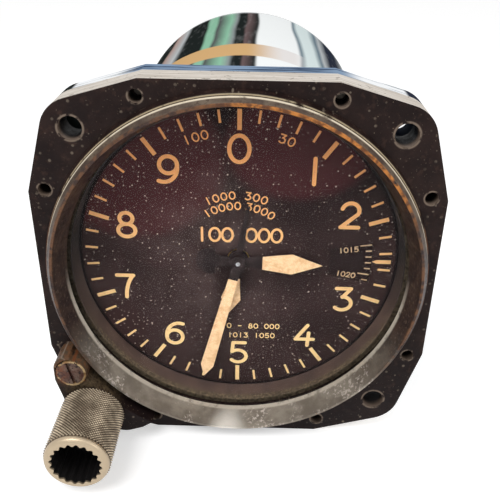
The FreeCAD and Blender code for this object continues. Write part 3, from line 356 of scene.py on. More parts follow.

# Painted reflections along the top of the case, as streaks: a tone, and where it starts and ends in turns
# from the top

REFLECTION_REACH = 0.16
SILVER = shade(187, 192, 194)
ASH = shade(142, 150, 150)
GREY = shade(88, 91, 91)
DARK = shade(34, 39, 38)
ROSE = shade(178, 153, 145)
GREEN = shade(144, 195, 166)
SLATE = shade(106, 125, 137)
BROWN = shade(110, 92, 92)
WHITE = shade(248, 251, 251)
PALE = shade(219, 232, 232)
NAVY = shade(46, 51, 65)
CASE_REFLECTION_STREAKS = (
    (ASH, -0.16), (DARK, -0.13, -0.113), (ROSE, -0.108), (SILVER, -0.09), (DARK, -0.082, -0.056),
    (GREEN, -0.052, -0.044), (GREY, -0.04), (GREEN, -0.025), (ASH, -0.017), (DARK, -0.013, -0.004),
    (BROWN, -0.001), (DARK, 0.011), (WHITE, 0.014, 0.058), (SLATE, 0.062), (PALE, 0.068, 0.084),
    (SLATE, 0.094), (SILVER, 0.1), (NAVY, 0.112, 0.13), (SILVER, 0.16))


# Materials of the outside

def flange_finish():
    """Brown-black paint, worn to bare metal on the outer edges and round the holes."""
    finish = Finish("flange_black_paint", roughness=0.5, Specular_IOR_Level=0.12)
    normal = finish.node("ShaderNodeNewGeometry").outputs["Normal"]
    facing = finish.size(finish.apart(normal)[1])
    edge = finish.span(facing, 0.35, 0.6, 1.0, 0.0)
    ring = finish.round_place()
    x, y, z = finish.apart(finish.place)
    # Old paint with dust and chips, darker towards the bottom
    paint = finish.mottled(shade(25, 15, 14), shade(41, 28, 25), 0.12, 0.35, 0.7)
    paint = finish.over(paint, shade(58, 41, 35), finish.patches(0.5, 0.52, 0.7), 0.7)
    paint = finish.over(paint, shade(22, 15, 16), finish.span(z, -14.0, -36.0), 0.6)
    dust = finish.both(finish.specks(0.6, 0.18, 0.45, FLAT_SPECKS), finish.patches(0.2, 0.4, 0.58))
    chips = finish.both(finish.patches(2.4, 0.66, 0.7, 3.0), finish.patches(0.16, 0.42, 0.54))
    paint = finish.over(paint, shade(150, 136, 120), dust, 0.5)
    paint = finish.over(paint, shade(168, 150, 128), chips, 0.6)
    # Grime on the corner block
    block = finish.spot(-36.0, -18.5, 5.2, 6.0, 0.25)
    grime = finish.mottled(shade(80, 66, 52), shade(104, 72, 50), 0.9, 0.4, 0.6)
    proud = finish.span(y, -0.1, -0.4)
    paint = finish.mix(finish.both(finish.both(block, proud), finish.patches(0.5, 0.36, 0.5)), paint, grime)
    near_knob = finish.both(finish.spot(-30.0, -26.0, 6.0, 4.0, 0.6), proud)
    paint = finish.mix(finish.broken(near_knob, 1.6, 0.2, 0.8), paint, shade(104, 88, 66))
    # Worn rims of the holes, and the worn crest round the glass: bare worn metal, with a painted highlight
    # that turns it pale towards the top
    aside, aloft = finish.size(x), finish.size(z)
    folded = finish.joined(finish.either(aside, aloft), 0.0, finish.math("MINIMUM", aside, aloft))
    small = finish.distance(folded, (SMALL_FAR, 0.0, SMALL_NEAR))
    large = finish.distance(folded, (MOUNT_REACH, 0.0, MOUNT_REACH))
    rims = finish.either(finish.band(small, 1.3, 1.62, 0.25), finish.band(large, 2.3, 2.7, 0.3))
    rims = finish.broken(rims, 0.5, 0.4, 0.52)
    paint = finish.over(paint, shade(134, 118, 104), rims, 0.75)
    crest = finish.both(finish.band(ring["Radius"], 38.9, 39.35, 0.2), finish.span(y, -1.4, -1.9))
    # Painted highlight: the worn crest turns pale towards the top, where light falls on it
    worn = finish.mix(finish.span(z, 8.0, 26.0), shade(108, 66, 42), shade(176, 160, 132))
    paint = finish.mix(finish.broken(crest, 0.3, 0.36, 0.5), paint, worn)
    # Bare metal of the outer edge, and the walls of the holes, with painted shade that darkens the walls
    # deeper in
    grain = finish.noise(finish.joined(finish.both(x, 0.05), y, finish.both(z, 0.05)), 1.6, 3.0)
    metal = finish.mix(finish.span(grain, 0.3, 0.7), shade(186, 176, 164), shade(222, 214, 204))
    metal = finish.over(metal, shade(110, 98, 84), finish.patches(0.7, 0.6, 0.68), 0.7)
    holes = finish.span(finish.math("MINIMUM", small, large), 2.6, 2.9)
    outside = finish.both(finish.span(ring["Radius"], 40.4, 40.8), holes)
    # Painted shade: hole walls go from bare metal at the front to near black deeper in
    hollow = finish.mix(finish.span(y, 0.1, 2.4), shade(120, 104, 92), shade(30, 24, 24))
    behind = finish.span(y, -0.2, 0.1)
    bare = finish.both(finish.both(edge, outside), behind)
    colour = finish.mix(finish.both(finish.both(edge, finish.inverse(holes)), behind), paint, hollow)
    colour = finish.mix(bare, colour, metal)
    rough = finish.blend(finish.patches(0.6, 0.3, 0.7), 0.38, 0.6)
    return finish.paint(colour, rough, finish.both(bare, 0.3), finish.patches(1.6, 0.2, 0.8), 0.3, 0.08)


def case_finish():
    """Bright plate: painted reflections as streaks along the case, a tan ring band, and a painted reflection
    of the sky as a bluish cast on the skirt.
    """
    finish = Finish("case_bright_plate", metallic=0.85, roughness=0.2, Specular_IOR_Level=0.0)
    ring = finish.round_place()
    x, y, z = finish.apart(finish.place)
    # Painted reflections, as slightly bent streaks along the top
    wobble = finish.joined(finish.both(ring["Turn"], 9.0), finish.both(y, 0.012), 0.0)
    wobble = finish.less(finish.noise(wobble, 2.0, 1.0), 0.5)
    bent = finish.math("MULTIPLY_ADD", wobble, 0.014, ring["Turn"])
    across = {"Value": bent, "From Min": -REFLECTION_REACH, "From Max": REFLECTION_REACH}
    ramp = finish.node("ShaderNodeValToRGB", {0: finish.node("ShaderNodeMapRange", across).outputs[0]})
    stops = [(edge, tone) for tone, *edges in CASE_REFLECTION_STREAKS for edge in edges]
    colours = ramp.color_ramp.elements
    while len(colours) < len(stops):
        colours.new(0.5)
    for element, (edge, tone) in zip(colours, stops):
        element.position = (edge / REFLECTION_REACH + 1) / 2
        element.color = tone
    # The rest of the case, brushed along its length
    rolled = finish.joined(0.0, finish.both(y, 0.012), finish.both(ring["Turn"], 14.0))
    brushed = finish.span(finish.noise(rolled, 2.6, 2.0), 0.42, 0.56)
    around = finish.mix(brushed, shade(170, 176, 180), shade(222, 226, 228))
    top = finish.band(ring["Turn"], -REFLECTION_REACH, REFLECTION_REACH, 0.02)
    colour = finish.mix(top, around, ramp.outputs[0])
    fine = finish.joined(finish.both(ring["Turn"], 60.0), finish.both(y, 0.05), 3.0)
    fine = finish.noise(fine, 2.4, 2.0)
    colour = finish.over(colour, shade(240, 244, 244), finish.span(fine, 0.5, 0.8), 0.08)
    # Tan ring band
    band = finish.both(finish.band(y, 42.0, 56.0, 1.2), finish.band(bent, -0.09, 0.06, 0.02))
    tan = finish.mix(finish.span(ring["Turn"], 0.0, 0.045), shade(214, 174, 122), shade(234, 230, 228))
    colour = finish.mix(band, colour, tan)
    # Skirt, with a painted reflection of the sky as a bluish cast on top, and bright painted reflections on
    # its corners
    skirt = finish.span(finish.either(finish.size(x), finish.size(z)), 36.9, 37.2)
    lines = finish.joined(finish.both(x, 0.08), finish.both(y, 1.4), finish.both(z, 0.08))
    lines = finish.noise(lines, 1.0, 3.0)
    sky_reflection = finish.mix(finish.span(lines, 0.38, 0.52), shade(34, 50, 78), shade(132, 154, 180))
    corner_reflection = finish.mix(finish.span(lines, 0.36, 0.5), shade(150, 158, 164), shade(244, 246, 248))
    sides = finish.span(finish.size(x), 19.0, 24.0)
    colour = finish.mix(skirt, colour, finish.mix(sides, sky_reflection, corner_reflection))
    rough = finish.blend(finish.patches(0.2, 0.4, 0.7), 0.1, 0.22)
    rear = finish.span(y, 104.0, 109.0)
    colour = finish.mix(rear, colour, shade(206, 210, 212))
    mirror = finish.blend(finish.both(finish.either(top, skirt), finish.inverse(rear)), 0.85, 0.0)
    return finish.paint(colour, rough, mirror, finish.patches(0.05, 0.3, 0.7, 2.0), 0.12, 0.3)


def bezel_finish():
    """Worn paint on the clamp ring: bright low side with a painted glint, dark flanks with a painted sheen on
    the upper outer slope, a bare crest with a painted highlight, and orange loss at the top.
    """
    finish = Finish("bezel_worn_paint", roughness=0.4, Specular_IOR_Level=0.25)
    ring = finish.round_place()
    _, y, z = finish.apart(finish.place)
    radius = ring["Radius"]
    # Dark flanks, and a grey low side with crust and a glint
    low_side = finish.span(z, -10.0, -27.0)
    dark = finish.mottled(shade(38, 27, 27), shade(66, 50, 44), 0.3, 0.35, 0.65)
    dark = finish.over(dark, shade(112, 96, 80), finish.patches(1.5, 0.56, 0.66), 0.6)
    grey = finish.mottled(shade(118, 108, 97), shade(150, 141, 128), 0.16, 0.35, 0.65)
    crust = finish.both(finish.patches(1.3, 0.52, 0.6, 8.0, 0.5), finish.patches(0.13, 0.47, 0.58))
    grey = finish.over(grey, shade(214, 202, 192), crust, 0.8)
    grey = finish.over(grey, shade(226, 218, 208), finish.specks(1.7, 0.16, 0.2), 0.7)
    glint = finish.spot(-2.0, -37.4, 3.0, 1.2, 0.8)
    grey = finish.over(grey, shade(250, 244, 234), glint, 0.8)
    colour = finish.mix(low_side, dark, grey)
    # Thin bright line inside, and the outer slope, with a painted sheen on its upper part
    line = finish.both(finish.band(radius, 35.6, 35.98, 0.16), finish.patches(0.4, 0.3, 0.5))
    line = finish.both(line, finish.span(z, 2.0, -10.0, 0.0, 0.8))
    colour = finish.mix(line, colour, shade(206, 196, 180))
    slope = finish.span(radius, 37.78, 37.84)
    sheen = finish.mottled(shade(66, 52, 44), shade(104, 90, 76), 0.25, 0.35, 0.65)
    sheen = finish.over(sheen, shade(62, 44, 34), finish.patches(1.6, 0.54, 0.62), 0.7)
    # Painted sheen: the outer slope turns lighter towards the top, where light falls on it
    upper = finish.span(z, 0.0, 22.0)
    outer = finish.mix(upper, dark, sheen)
    colour = finish.mix(slope, colour, outer)
    # Paint lost from the rim, orange on the upper right
    rim = finish.both(finish.band(radius, 37.22, 37.94, 0.16), finish.span(y, -2.9, -3.4))
    rim = finish.broken(rim, 0.35, 0.32, 0.46)
    orange = finish.mottled(shade(196, 126, 60), shade(104, 62, 34), 0.5, 0.4, 0.6, bend=0.5)
    rust = finish.mottled(shade(56, 41, 36), shade(104, 72, 50), 0.6, 0.4, 0.6)
    where = finish.band(ring["Turn"], -0.01, 0.17, 0.06)
    loss = finish.mix(where, rust, orange)
    colour = finish.mix(finish.both(rim, finish.inverse(low_side)), colour, loss)
    # Bare worn crest with a painted highlight, on the upper part only, where light catches it
    crest = finish.both(finish.span(radius, 38.5, 38.7), finish.span(z, 2.0, 20.0))
    colour = finish.mix(finish.broken(crest, 0.3, 0.32, 0.48), colour, shade(228, 214, 190))
    metallic = finish.both(low_side, 0.35)
    rough = finish.blend(finish.patches(0.9, 0.3, 0.7), 0.32, 0.5)
    return finish.paint(colour, rough, metallic, finish.patches(1.8, 0.2, 0.8), 0.35, 0.1)


def glass_finish():
    finish = Finish("cover_glass", roughness=0.02, Transmission_Weight=1.0, IOR=1.1)
    rough = finish.blend(finish.patches(0.3, 0.4, 0.8), 0.0, 0.05)
    finish.paint((0.97, 0.96, 0.95, 1.0), rough)
    output = finish.tree.nodes["Material Output"]
    passing = finish.node("ShaderNodeBsdfTransparent")
    shadow = finish.node("ShaderNodeLightPath").outputs["Is Shadow Ray"]
    inputs = {0: shadow, 1: finish.shader.outputs[0], 2: passing.outputs[0]}
    choice = finish.node("ShaderNodeMixShader", inputs)
    finish.feed(output.inputs["Surface"], choice.outputs[0])
    return finish.material


def mask_finish():
    """Brown mask ring: dusty at the glass, smooth behind it, and near black at the top from painted shade."""
    finish = Finish("mask_ring_brown", roughness=0.6)
    _, y, z = finish.apart(finish.place)
    colour = finish.mottled(shade(66, 50, 46), shade(84, 66, 58), 0.2, 0.35, 0.65)
    olive = finish.mottled(shade(48, 38, 30), shade(112, 98, 76), 1.7, 0.3, 0.75, 5.0)
    dusty = finish.both(finish.span(y, 5.4, 4.6), finish.span(z, -6.0, -22.0))
    colour = finish.mix(dusty, colour, olive)
    # Painted shade: the ring goes near black towards the top, where it lies in shadow
    colour = finish.over(colour, shade(20, 15, 17), finish.span(z, -16.0, 6.0), 0.95)
    dust = finish.both(finish.specks(2.4, 0.24, 0.3), finish.patches(0.2, 0.4, 0.65))
    return finish.paint(finish.mix(finish.both(dust, 0.7), colour, shade(170, 160, 144)), None, None,
                        finish.patches(2.0, 0.2, 0.8), 0.3, 0.05)


def seal_finish():
    finish = Finish("glass_seal_dusty", roughness=0.8)
    colour = finish.mottled(shade(58, 48, 38), shade(126, 112, 90), 1.2, 0.25, 0.75)
    return finish.paint(colour, None, None, finish.patches(2.5, 0.2, 0.8), 0.5, 0.08)


def dial_black(name, share=1.0):
    """The dial's matt brown-black, with fine dust and a warm maroon painted reflection over its upper part.
    """
    finish = Finish(name, roughness=0.6, Specular_IOR_Level=0.1)
    ring = finish.round_place()
    z = finish.apart(finish.place)[2]
    # Black that turns brown lower down, a maroon painted reflection as seen in the glass, and a haze
    low = finish.mottled(shade(40, 27, 27), shade(52, 37, 37), 0.09, 0.35, 0.65)
    colour = finish.mix(finish.span(z, 2.0, 24.0), low, shade(27, 16, 17))
    glass_reflection = finish.either(finish.spot(-22.0, 22.0, 19.0, 17.0, 0.1), finish.spot(12.0, 25.5, 15.0, 11.0, 0.14))
    colour = finish.over(colour, shade(66, 31, 34), glass_reflection, 0.8)
    haze = finish.both(finish.spot(-6.0, 0.0, 11.0, 20.0, 0.7), finish.patches(0.12, 0.35, 0.65, 3.0))
    colour = finish.over(colour, shade(92, 78, 76), haze, 0.4)
    # Dust, and a painted shadow that makes a black rim under the mask
    fine = finish.both(finish.specks(0.9, 0.15, 0.6, FLAT_SPECKS), finish.patches(0.1, 0.3, 0.6))
    coarse = finish.specks(0.4, 0.08, 0.4, FLAT_SPECKS)
    colour = finish.over(colour, shade(196, 182, 170), finish.either(fine, coarse), 0.8)
    # Painted shadow: black round the dial's edge, under the mask
    colour = finish.mix(finish.span(ring["Radius"], 34.0, 34.3), colour, shade(22, 16, 17))
    colour = finish.mix(share, shade(30, 20, 21), colour)
    return finish.paint(colour, None, None, finish.patches(0.8, 0.2, 0.8), 0.08, 0.04)


def figure_finish():
    finish = Finish("figure_paint", roughness=0.6)
    z = finish.apart(finish.place)[2]
    colour = finish.mix(finish.span(z, -26.0, 30.0), shade(236, 204, 144), shade(222, 150, 84))
    colour = finish.over(colour, shade(170, 120, 80), finish.patches(0.8, 0.5, 0.7), 0.35)
    return finish.paint(colour, None, None, finish.patches(4.0, 0.2, 0.8), 0.3, 0.04)


def pale_figure_finish():
    finish = Finish("small_figure_paint", roughness=0.6)
    colour = finish.mottled(shade(206, 176, 138), shade(168, 138, 104), 0.9, 0.4, 0.7)
    return finish.paint(colour, None, None, finish.patches(4.0, 0.2, 0.8), 0.3, 0.03)


def cream_finish():
    finish = Finish("pointer_cream", roughness=0.62)
    colour = finish.mottled(shade(236, 200, 156), shade(216, 172, 126), 0.6, 0.4, 0.66)
    cracks = finish.node("ShaderNodeTexVoronoi", {"Vector": finish.place, "Scale": 0.9},
                         feature="DISTANCE_TO_EDGE").outputs["Distance"]
    worn = finish.span(cracks, 0.0, 0.06, 1.0, 0.0)
    colour = finish.over(colour, shade(198, 150, 106), worn, 0.35)
    return finish.paint(colour, None, None, finish.patches(1.7, 0.2, 0.8, 6.0), 0.5, 0.12)


def pointer_black_finish():
    finish = Finish("pointer_black", roughness=0.6, Specular_IOR_Level=0.1)
    colour = finish.mottled(shade(34, 26, 27), shade(52, 43, 43), 0.5, 0.4, 0.7)
    dust = finish.specks(2.2, 0.2, 0.25)
    return finish.paint(finish.mix(finish.both(dust, 0.6), colour, shade(120, 112, 106)), None, None,
                        finish.patches(3.0, 0.2, 0.8), 0.2, 0.04)


def knob_finish():
    finish = Finish("knob_aluminium", metallic=0.75, roughness=0.42)
    moved = finish.node("ShaderNodeVectorMath", {0: finish.place, 1: (KNOB_X, 0.0, KNOB_Z)},
                        operation="SUBTRACT").outputs[0]
    ring = finish.use(ROUND_PLACE, Place=moved)
    valley = finish.span(ring["Radius"], KNOB_RADIUS + 0.04, KNOB_RADIUS + 0.8 * KNURL_DEEP, 1.0, 0.0)
    colour = finish.mottled(shade(122, 108, 90), shade(184, 168, 144), 0.3, 0.35, 0.65)
    colour = finish.over(colour, shade(58, 46, 34), valley, 0.9)
    lip = finish.span(ring["Depth"], -KNOB_FRONT + KNOB_LIP + 0.1, -KNOB_FRONT + KNOB_LIP - 0.1)
    colour = finish.mix(lip, colour, shade(186, 168, 142))
    hollow = finish.both(finish.span(ring["Radius"], SOCKET_RADIUS + 0.7, SOCKET_RADIUS + 0.5),
                         finish.span(ring["Depth"], -KNOB_FRONT + 0.1, -KNOB_FRONT + 0.5))
    colour = finish.mix(hollow, colour, shade(22, 20, 20))
    metallic = finish.blend(hollow, 0.75, 0.0)
    return finish.paint(colour, None, metallic, finish.patches(2.4, 0.2, 0.8), 0.3, 0.06)


def lock_finish(name, bright, dark):
    """Tarnished metal of the lock screw and of its collar, rusty on its left."""
    finish = Finish(name, metallic=0.4, roughness=0.5)
    x = finish.apart(finish.place)[0]
    colour = finish.mix(finish.patches(0.45, 0.4, 0.6, 5.0, 0.4), bright, dark)
    left = finish.span(x, -35.6, -37.8)
    rust = finish.both(finish.either(left, 0.2), finish.patches(0.8, 0.38, 0.56))
    colour = finish.mix(rust, colour, shade(112, 66, 42))
    colour = finish.mix(finish.patches(1.1, 0.55, 0.64, 5.0), colour, shade(46, 32, 28))
    return finish.paint(colour, finish.blend(rust, 0.36, 0.7), finish.blend(rust, 0.6, 0.0),
                        finish.patches(2.0, 0.2, 0.8), 0.5, 0.1)


def metal_finish(name, colour, dark, roughness=0.35, metallic=0.9):
    """Plain machined or cast metal with a little tarnish."""
    finish = Finish(name, metallic=metallic, roughness=roughness)
    tone = finish.over(colour, dark, finish.patches(0.25, 0.4, 0.7), 0.6)
    tone = finish.over(tone, dark, finish.specks(0.9, 0.2, 0.2), 0.5)
    rough = finish.blend(finish.patches(0.5, 0.3, 0.7), roughness - 0.08, roughness + 0.1)
    return finish.paint(tone, rough, None, finish.patches(2.6, 0.2, 0.8), 0.2, 0.05)


# Finishes by the slots of the frame

FIGURE = figure_finish()
SMALL_FIGURE = pale_figure_finish()
CREAM = cream_finish()
SLOT_FINISH = {
    "flange_paint": flange_finish(),
    "case_chrome": case_finish(),
    "bezel_paint": bezel_finish(),
    "glass": glass_finish(),
    "seal_rubber": seal_finish(),
    "mask_paint": mask_finish(),
    "dial_paint": dial_black("dial_black"),
    "scale_paint": dial_black("scale_black", 0.2),
    "ring_aluminium": metal_finish("turned_aluminium", shade(190, 190, 190), shade(130, 128, 124)),
    "fastener_steel": metal_finish("screw_steel", shade(112, 106, 98), shade(60, 54, 48)),
    "lock_brass": lock_finish("lock_collar_brass", shade(206, 180, 136), shade(150, 116, 74)),
    "lock_steel": lock_finish("lock_screw_steel", shade(112, 94, 84), shade(74, 46, 40)),
    "knob_aluminium": knob_finish(),
    "gear_brass": metal_finish("gear_brass", shade(214, 178, 98), shade(140, 104, 50), 0.3),
    "arbor_steel": metal_finish("arbor_steel", shade(176, 178, 182), shade(110, 108, 106), 0.25),
    "plate_aluminium": metal_finish("plate_aluminium", shade(198, 198, 196), shade(140, 138, 134)),
    "capsule_bronze": metal_finish("capsule_bronze", shade(196, 150, 92), shade(120, 80, 44), 0.3),
    "pointer_paint": pointer_black_finish(),
}
for part in frame["record"]["subparts"]:
    node = nodes[part["node"]]
    for slot in node.material_slots:
        slot.material = SLOT_FINISH[part["material_slot"]]


# Pieces

def finished(name, mesh, body, slot, material, replaced=()):
    """Brings a mesh to metres and puts it on its body."""
    mesh.transform(Matrix.Scale(MM, 4))
    mesh.materials.clear()
    mesh.materials.append(material)
    piece = bpy.data.objects.new(name, mesh)
    scene.collection.objects.link(piece)
    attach(piece, body)
    if replaced:
        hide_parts(*replaced)


def built(name, shape, body, slot, material, replaced=()):
    """Makes a piece of a shape that bmesh holds."""
    mesh = bpy.data.meshes.new(name)
    bmesh.ops.recalc_face_normals(shape, faces=shape.faces)
    shape.to_mesh(mesh)
    shape.free()
    finished(name, mesh, body, slot, material, replaced)


def prism(shape, outline, front, back):
    """A flat plate with that outline of (x, z), between two depths."""
    near = [shape.verts.new((x, front, z)) for x, z in outline]
    far = [shape.verts.new((x, back, z)) for x, z in outline]
    shape.faces.new(near)
    shape.faces.new(list(reversed(far)))
    for i in range(len(near)):
        following = (i + 1) % len(near)
        shape.faces.new((near[following], near[i], far[i], far[following]))


def stroke(shape, path, half, front, back):
    """A printed stroke along a path of (x, z), with round ends. A closed path makes a ring."""
    points = [Vector(point) for point in path]
    closed = (points[0] - points[-1]).length < 1e-6
    if closed:
        points.pop()
    count = len(points)
    left, right = [], []
    for i, point in enumerate(points):
        before = points[i - 1] if closed or i else point
        after = points[(i + 1) % count] if closed or i < count - 1 else point
        along = (after - before).normalized()
        across = Vector((-along.y, along.x)) * half
        left.append(point + across)
        right.append(point - across)
    if not closed:
        start = (points[0] - points[1]).normalized()
        finish = (points[-1] - points[-2]).normalized()
        outline = left + cap(points[-1], finish, half) + right[::-1] + cap(points[0], start, half)
        prism(shape, outline, front, back)
        return
    rings = [[shape.verts.new((p.x, depth, p.y)) for p in side]
             for side, depth in ((left, front), (right, front), (right, back), (left, back))]
    for first, second in zip(rings, rings[1:] + rings[:1]):
        for i in range(count):
            following = (i + 1) % count
            shape.faces.new((first[i], first[following], second[following], second[i]))


def cap(centre, ahead, half, steps=6):
    """The round end of a stroke, from its left side to its right."""
    side = Vector((-ahead.y, ahead.x))
    turns = [math.pi * i / steps for i in range(1, steps)]
    return [centre + half * (side * math.cos(turn) + ahead * math.sin(turn)) for turn in turns]


def bow(across, up, half_width, half_height, start, finish, steps=20):
    """Points along an arc of an ellipse, angles in degrees from the right, anticlockwise."""
    turns = [math.radians(start + (finish - start) * i / steps) for i in range(steps + 1)]
    return [(across + half_width * math.cos(turn), up + half_height * math.sin(turn)) for turn in turns]


# Figures, drawn as strokes in a box one high and FIGURE_WIDE wide

FIGURE_WIDE = 0.68
FIGURE_STROKES = {
    "0": [bow(0.34, 0.5, 0.365, 0.5, 0, 360, 36)],
    "1": [[(0.34, 0.0), (0.34, 1.0)]],
    "2": [bow(0.34, 0.69, 0.32, 0.31, 165, -25) + [(0.03, 0.02)], [(0.0, 0.0), (0.68, 0.0)]],
    "3": [[(0.04, 1.0), (0.62, 1.0)], [(0.62, 1.0), (0.30, 0.60)], bow(0.30, 0.31, 0.36, 0.31, 92, -140)],
    "4": [[(0.48, 1.0), (0.0, 0.31)], [(0.0, 0.31), (0.74, 0.31)], [(0.54, 0.62), (0.5, 0.0)]],
    "5": [[(0.6, 1.0), (0.1, 1.0)], [(0.1, 1.0), (0.06, 0.55)], bow(0.30, 0.31, 0.35, 0.31, 134, -140)],
    "6": [bow(0.34, 0.33, 0.33, 0.33, 0, 360, 30), bow(0.52, 0.42, 0.51, 0.58, 190, 70)],
    "7": [[(0.0, 1.0), (0.66, 1.0)], bow(1.24, 0.0, 0.9, 1.34, 180, 132)],
    "8": [bow(0.34, 0.76, 0.25, 0.24, 0, 360, 26), bow(0.34, 0.26, 0.33, 0.27, 0, 360, 30)],
    "9": [bow(0.34, 0.67, 0.33, 0.33, 0, 360, 30), bow(0.16, 0.56, 0.51, 0.56, 8, -112)],
    "-": [[(0.06, 0.5), (0.6, 0.5)]],
}
RIGHT = (1, 0)
STROKE_LIFT = 0.004


def figures(shape, text, corner, across, tall, half, depths, gap=0.0):
    """Prints figures from the lower left corner. Their height counts between stroke centres."""
    along = Vector(across).normalized()
    upwards = Vector((-along.y, along.x))
    pen = Vector(corner)
    for sign in text:
        for number, path in enumerate(FIGURE_STROKES.get(sign, [])):
            points = [pen + along * x * tall + upwards * y * tall for x, y in path]
            stroke(shape, points, half, depths[0] - STROKE_LIFT * number, depths[1])
        pen = pen + along * (FIGURE_WIDE * tall + gap)


def clockwise(radius, degrees):
    """Place on the dial at a radius and an angle clockwise from the top."""
    turn = math.radians(degrees)
    return Vector((radius * math.sin(turn), radius * math.cos(turn)))


def directions(degrees):
    """Along a radius at a clockwise angle from the top, and the way up of writing on it."""
    turn = math.radians(90.0 - degrees)
    along = Vector((math.cos(turn), math.sin(turn)))
    return along, Vector((-along.y, along.x))


# Printing on the dial: each numeral with the reach and the angle of its middle

PRINT_THICK = 0.05
PRINT_SUNK = 0.01
NUMERAL_TALL = 5.6
NUMERAL_STROKE = 0.43
NUMERALS = (
    ("0", 25.15, 0.0), ("1", 25.8, 36.8), ("2", 26.0, 65.0), ("3", 25.7, 112.5), ("4", 25.2, 142.4),
    ("5", 25.3, 179.3), ("6", 25.0, 215.9), ("7", 26.3, 252.9), ("8", 25.2, 287.6), ("9", 25.1, 324.6))
dial_print = (DIAL_FRONT - PRINT_THICK, DIAL_FRONT + PRINT_SUNK)

shape = bmesh.new()
for sign, reach, angle in NUMERALS:
    middle = clockwise(reach, angle)
    corner = middle - Vector((FIGURE_WIDE * NUMERAL_TALL / 2, NUMERAL_TALL / 2))
    figures(shape, sign, corner, RIGHT, NUMERAL_TALL, NUMERAL_STROKE, dial_print)
built("dial_numerals", shape, "root", "dial_paint", FIGURE)


def figures_on_arc(shape, text, start, reach, tall, pitch):
    """Small figures that stand on an arc round the axis, one after another clockwise."""
    for number, sign in enumerate(text):
        angle = start + number * math.degrees(pitch / reach)
        across = Vector((math.cos(math.radians(angle)), -math.sin(math.radians(angle))))
        corner = clockwise(reach - tall / 2, angle) - across * FIGURE_WIDE * tall / 2
        figures(shape, sign, corner, across, tall, ARC_STROKE, dial_print)


# Small plain numbers, most of them in the places of the dial's words

ARC_STROKE = 0.14
OUTER_ARC = {"reach": 28.8, "tall": 1.75, "pitch": 1.9}
UPPER_ARC = {"reach": 15.0, "tall": 1.6, "pitch": 1.75}
LOWER_ARC = {"reach": 12.6, "tall": 1.6, "pitch": 1.7}
TITLE = {"tall": 3.1, "half": 0.26, "gap": 0.62}
FOOTNOTE = {"tall": 1.2, "half": 0.11, "gap": 0.42}
NUMBERS_ON_ARCS = (
    ("100", 338.4, OUTER_ARC), ("30", 17.5, OUTER_ARC), ("1000", 334.5, UPPER_ARC), ("300", 7.5, UPPER_ARC),
    ("10000", 328.0, LOWER_ARC), ("3000", 10.0, LOWER_ARC))
NUMBERS_IN_LINES = (
    ("100", (-8.9, 4.2), TITLE), ("000", (1.7, 4.2), TITLE),
    ("0 - 80 000", (-2.4, -18.3), FOOTNOTE), ("1013 1050", (-2.2, -20.9), FOOTNOTE))

shape = bmesh.new()
for text, start, sizes in NUMBERS_ON_ARCS:
    figures_on_arc(shape, text, start, **sizes)
for text, corner, sizes in NUMBERS_IN_LINES:
    figures(shape, text, corner, RIGHT, depths=dial_print, **sizes)
built("dial_small_figures", shape, "root", "dial_paint", FIGURE)


# Repeated marks: one tree, with named inputs for its sizes

class Growth(Wires):
    """A geometry node tree under construction."""

    def __init__(self, name, inputs):
        tree = bpy.data.node_groups.new(name, "GeometryNodeTree")
        tree.interface.new_socket(name="Geometry", in_out="OUTPUT", socket_type="NodeSocketGeometry")
        for label, kind, value in inputs:
            socket = tree.interface.new_socket(name=label, in_out="INPUT", socket_type=kind)
            if value is not None:
                socket.default_value = value
        super().__init__(tree, tree.nodes.new("NodeGroupInput"), tree.nodes.new("NodeGroupOutput"))

    def given(self, label):
        return self.start.outputs[label]

    def dressed(self, geometry):
        """Ends the tree with real geometry in its finish."""
        real = self.node("GeometryNodeRealizeInstances", {0: geometry})
        inputs = {"Geometry": real.outputs[0], "Material": self.given("Finish")}
        self.give("Geometry", self.node("GeometryNodeSetMaterial", inputs).outputs[0])
        return self.tree


INTEGER = "NodeSocketInt"
MATERIAL = "NodeSocketMaterial"


def make_ring_of_bars():
    growth = Growth("ring_of_bars", [
        ("Count", INTEGER, 10), ("First Turn", FLOAT, 0.0), ("Step Turn", FLOAT, 0.1),
        ("Leave Out Every", INTEGER, 0), ("Inner Radius", FLOAT, 1.0), ("Outer Radius", FLOAT, 2.0),
        ("Width", FLOAT, 0.1), ("Front", FLOAT, 0.0), ("Back", FLOAT, 0.1), ("Finish", MATERIAL, None)])
    given = growth.given
    points = growth.node("GeometryNodeMeshLine", {"Count": given("Count"), "Offset": (0.0, 0.0, 0.0)})
    thick = growth.less(given("Back"), given("Front"))
    length = growth.less(given("Outer Radius"), given("Inner Radius"))
    bar = growth.node("GeometryNodeMeshCube", {"Size": growth.joined(given("Width"), thick, length)})
    depth = growth.both(growth.plus(given("Front"), given("Back")), 0.5)
    reach = growth.both(growth.plus(given("Inner Radius"), given("Outer Radius")), 0.5)
    placed = growth.node("GeometryNodeTransform", {"Geometry": bar.outputs["Mesh"],
                                                   "Translation": growth.joined(0.0, depth, reach)})
    index = growth.node("GeometryNodeInputIndex").outputs[0]
    turn = growth.math("MULTIPLY_ADD", index, given("Step Turn"), given("First Turn"))
    left_over = growth.math("MODULO", index, growth.math("MAXIMUM", given("Leave Out Every"), 1.0))
    always = growth.math("LESS_THAN", given("Leave Out Every"), 1.0)
    kept = growth.math("GREATER_THAN", growth.plus(left_over, always), 0.5)
    copies = growth.node("GeometryNodeInstanceOnPoints", {
        "Points": points.outputs["Mesh"], "Selection": kept, "Instance": placed.outputs[0],
        "Rotation": growth.joined(0.0, turn, 0.0)})
    return growth.dressed(copies.outputs[0])


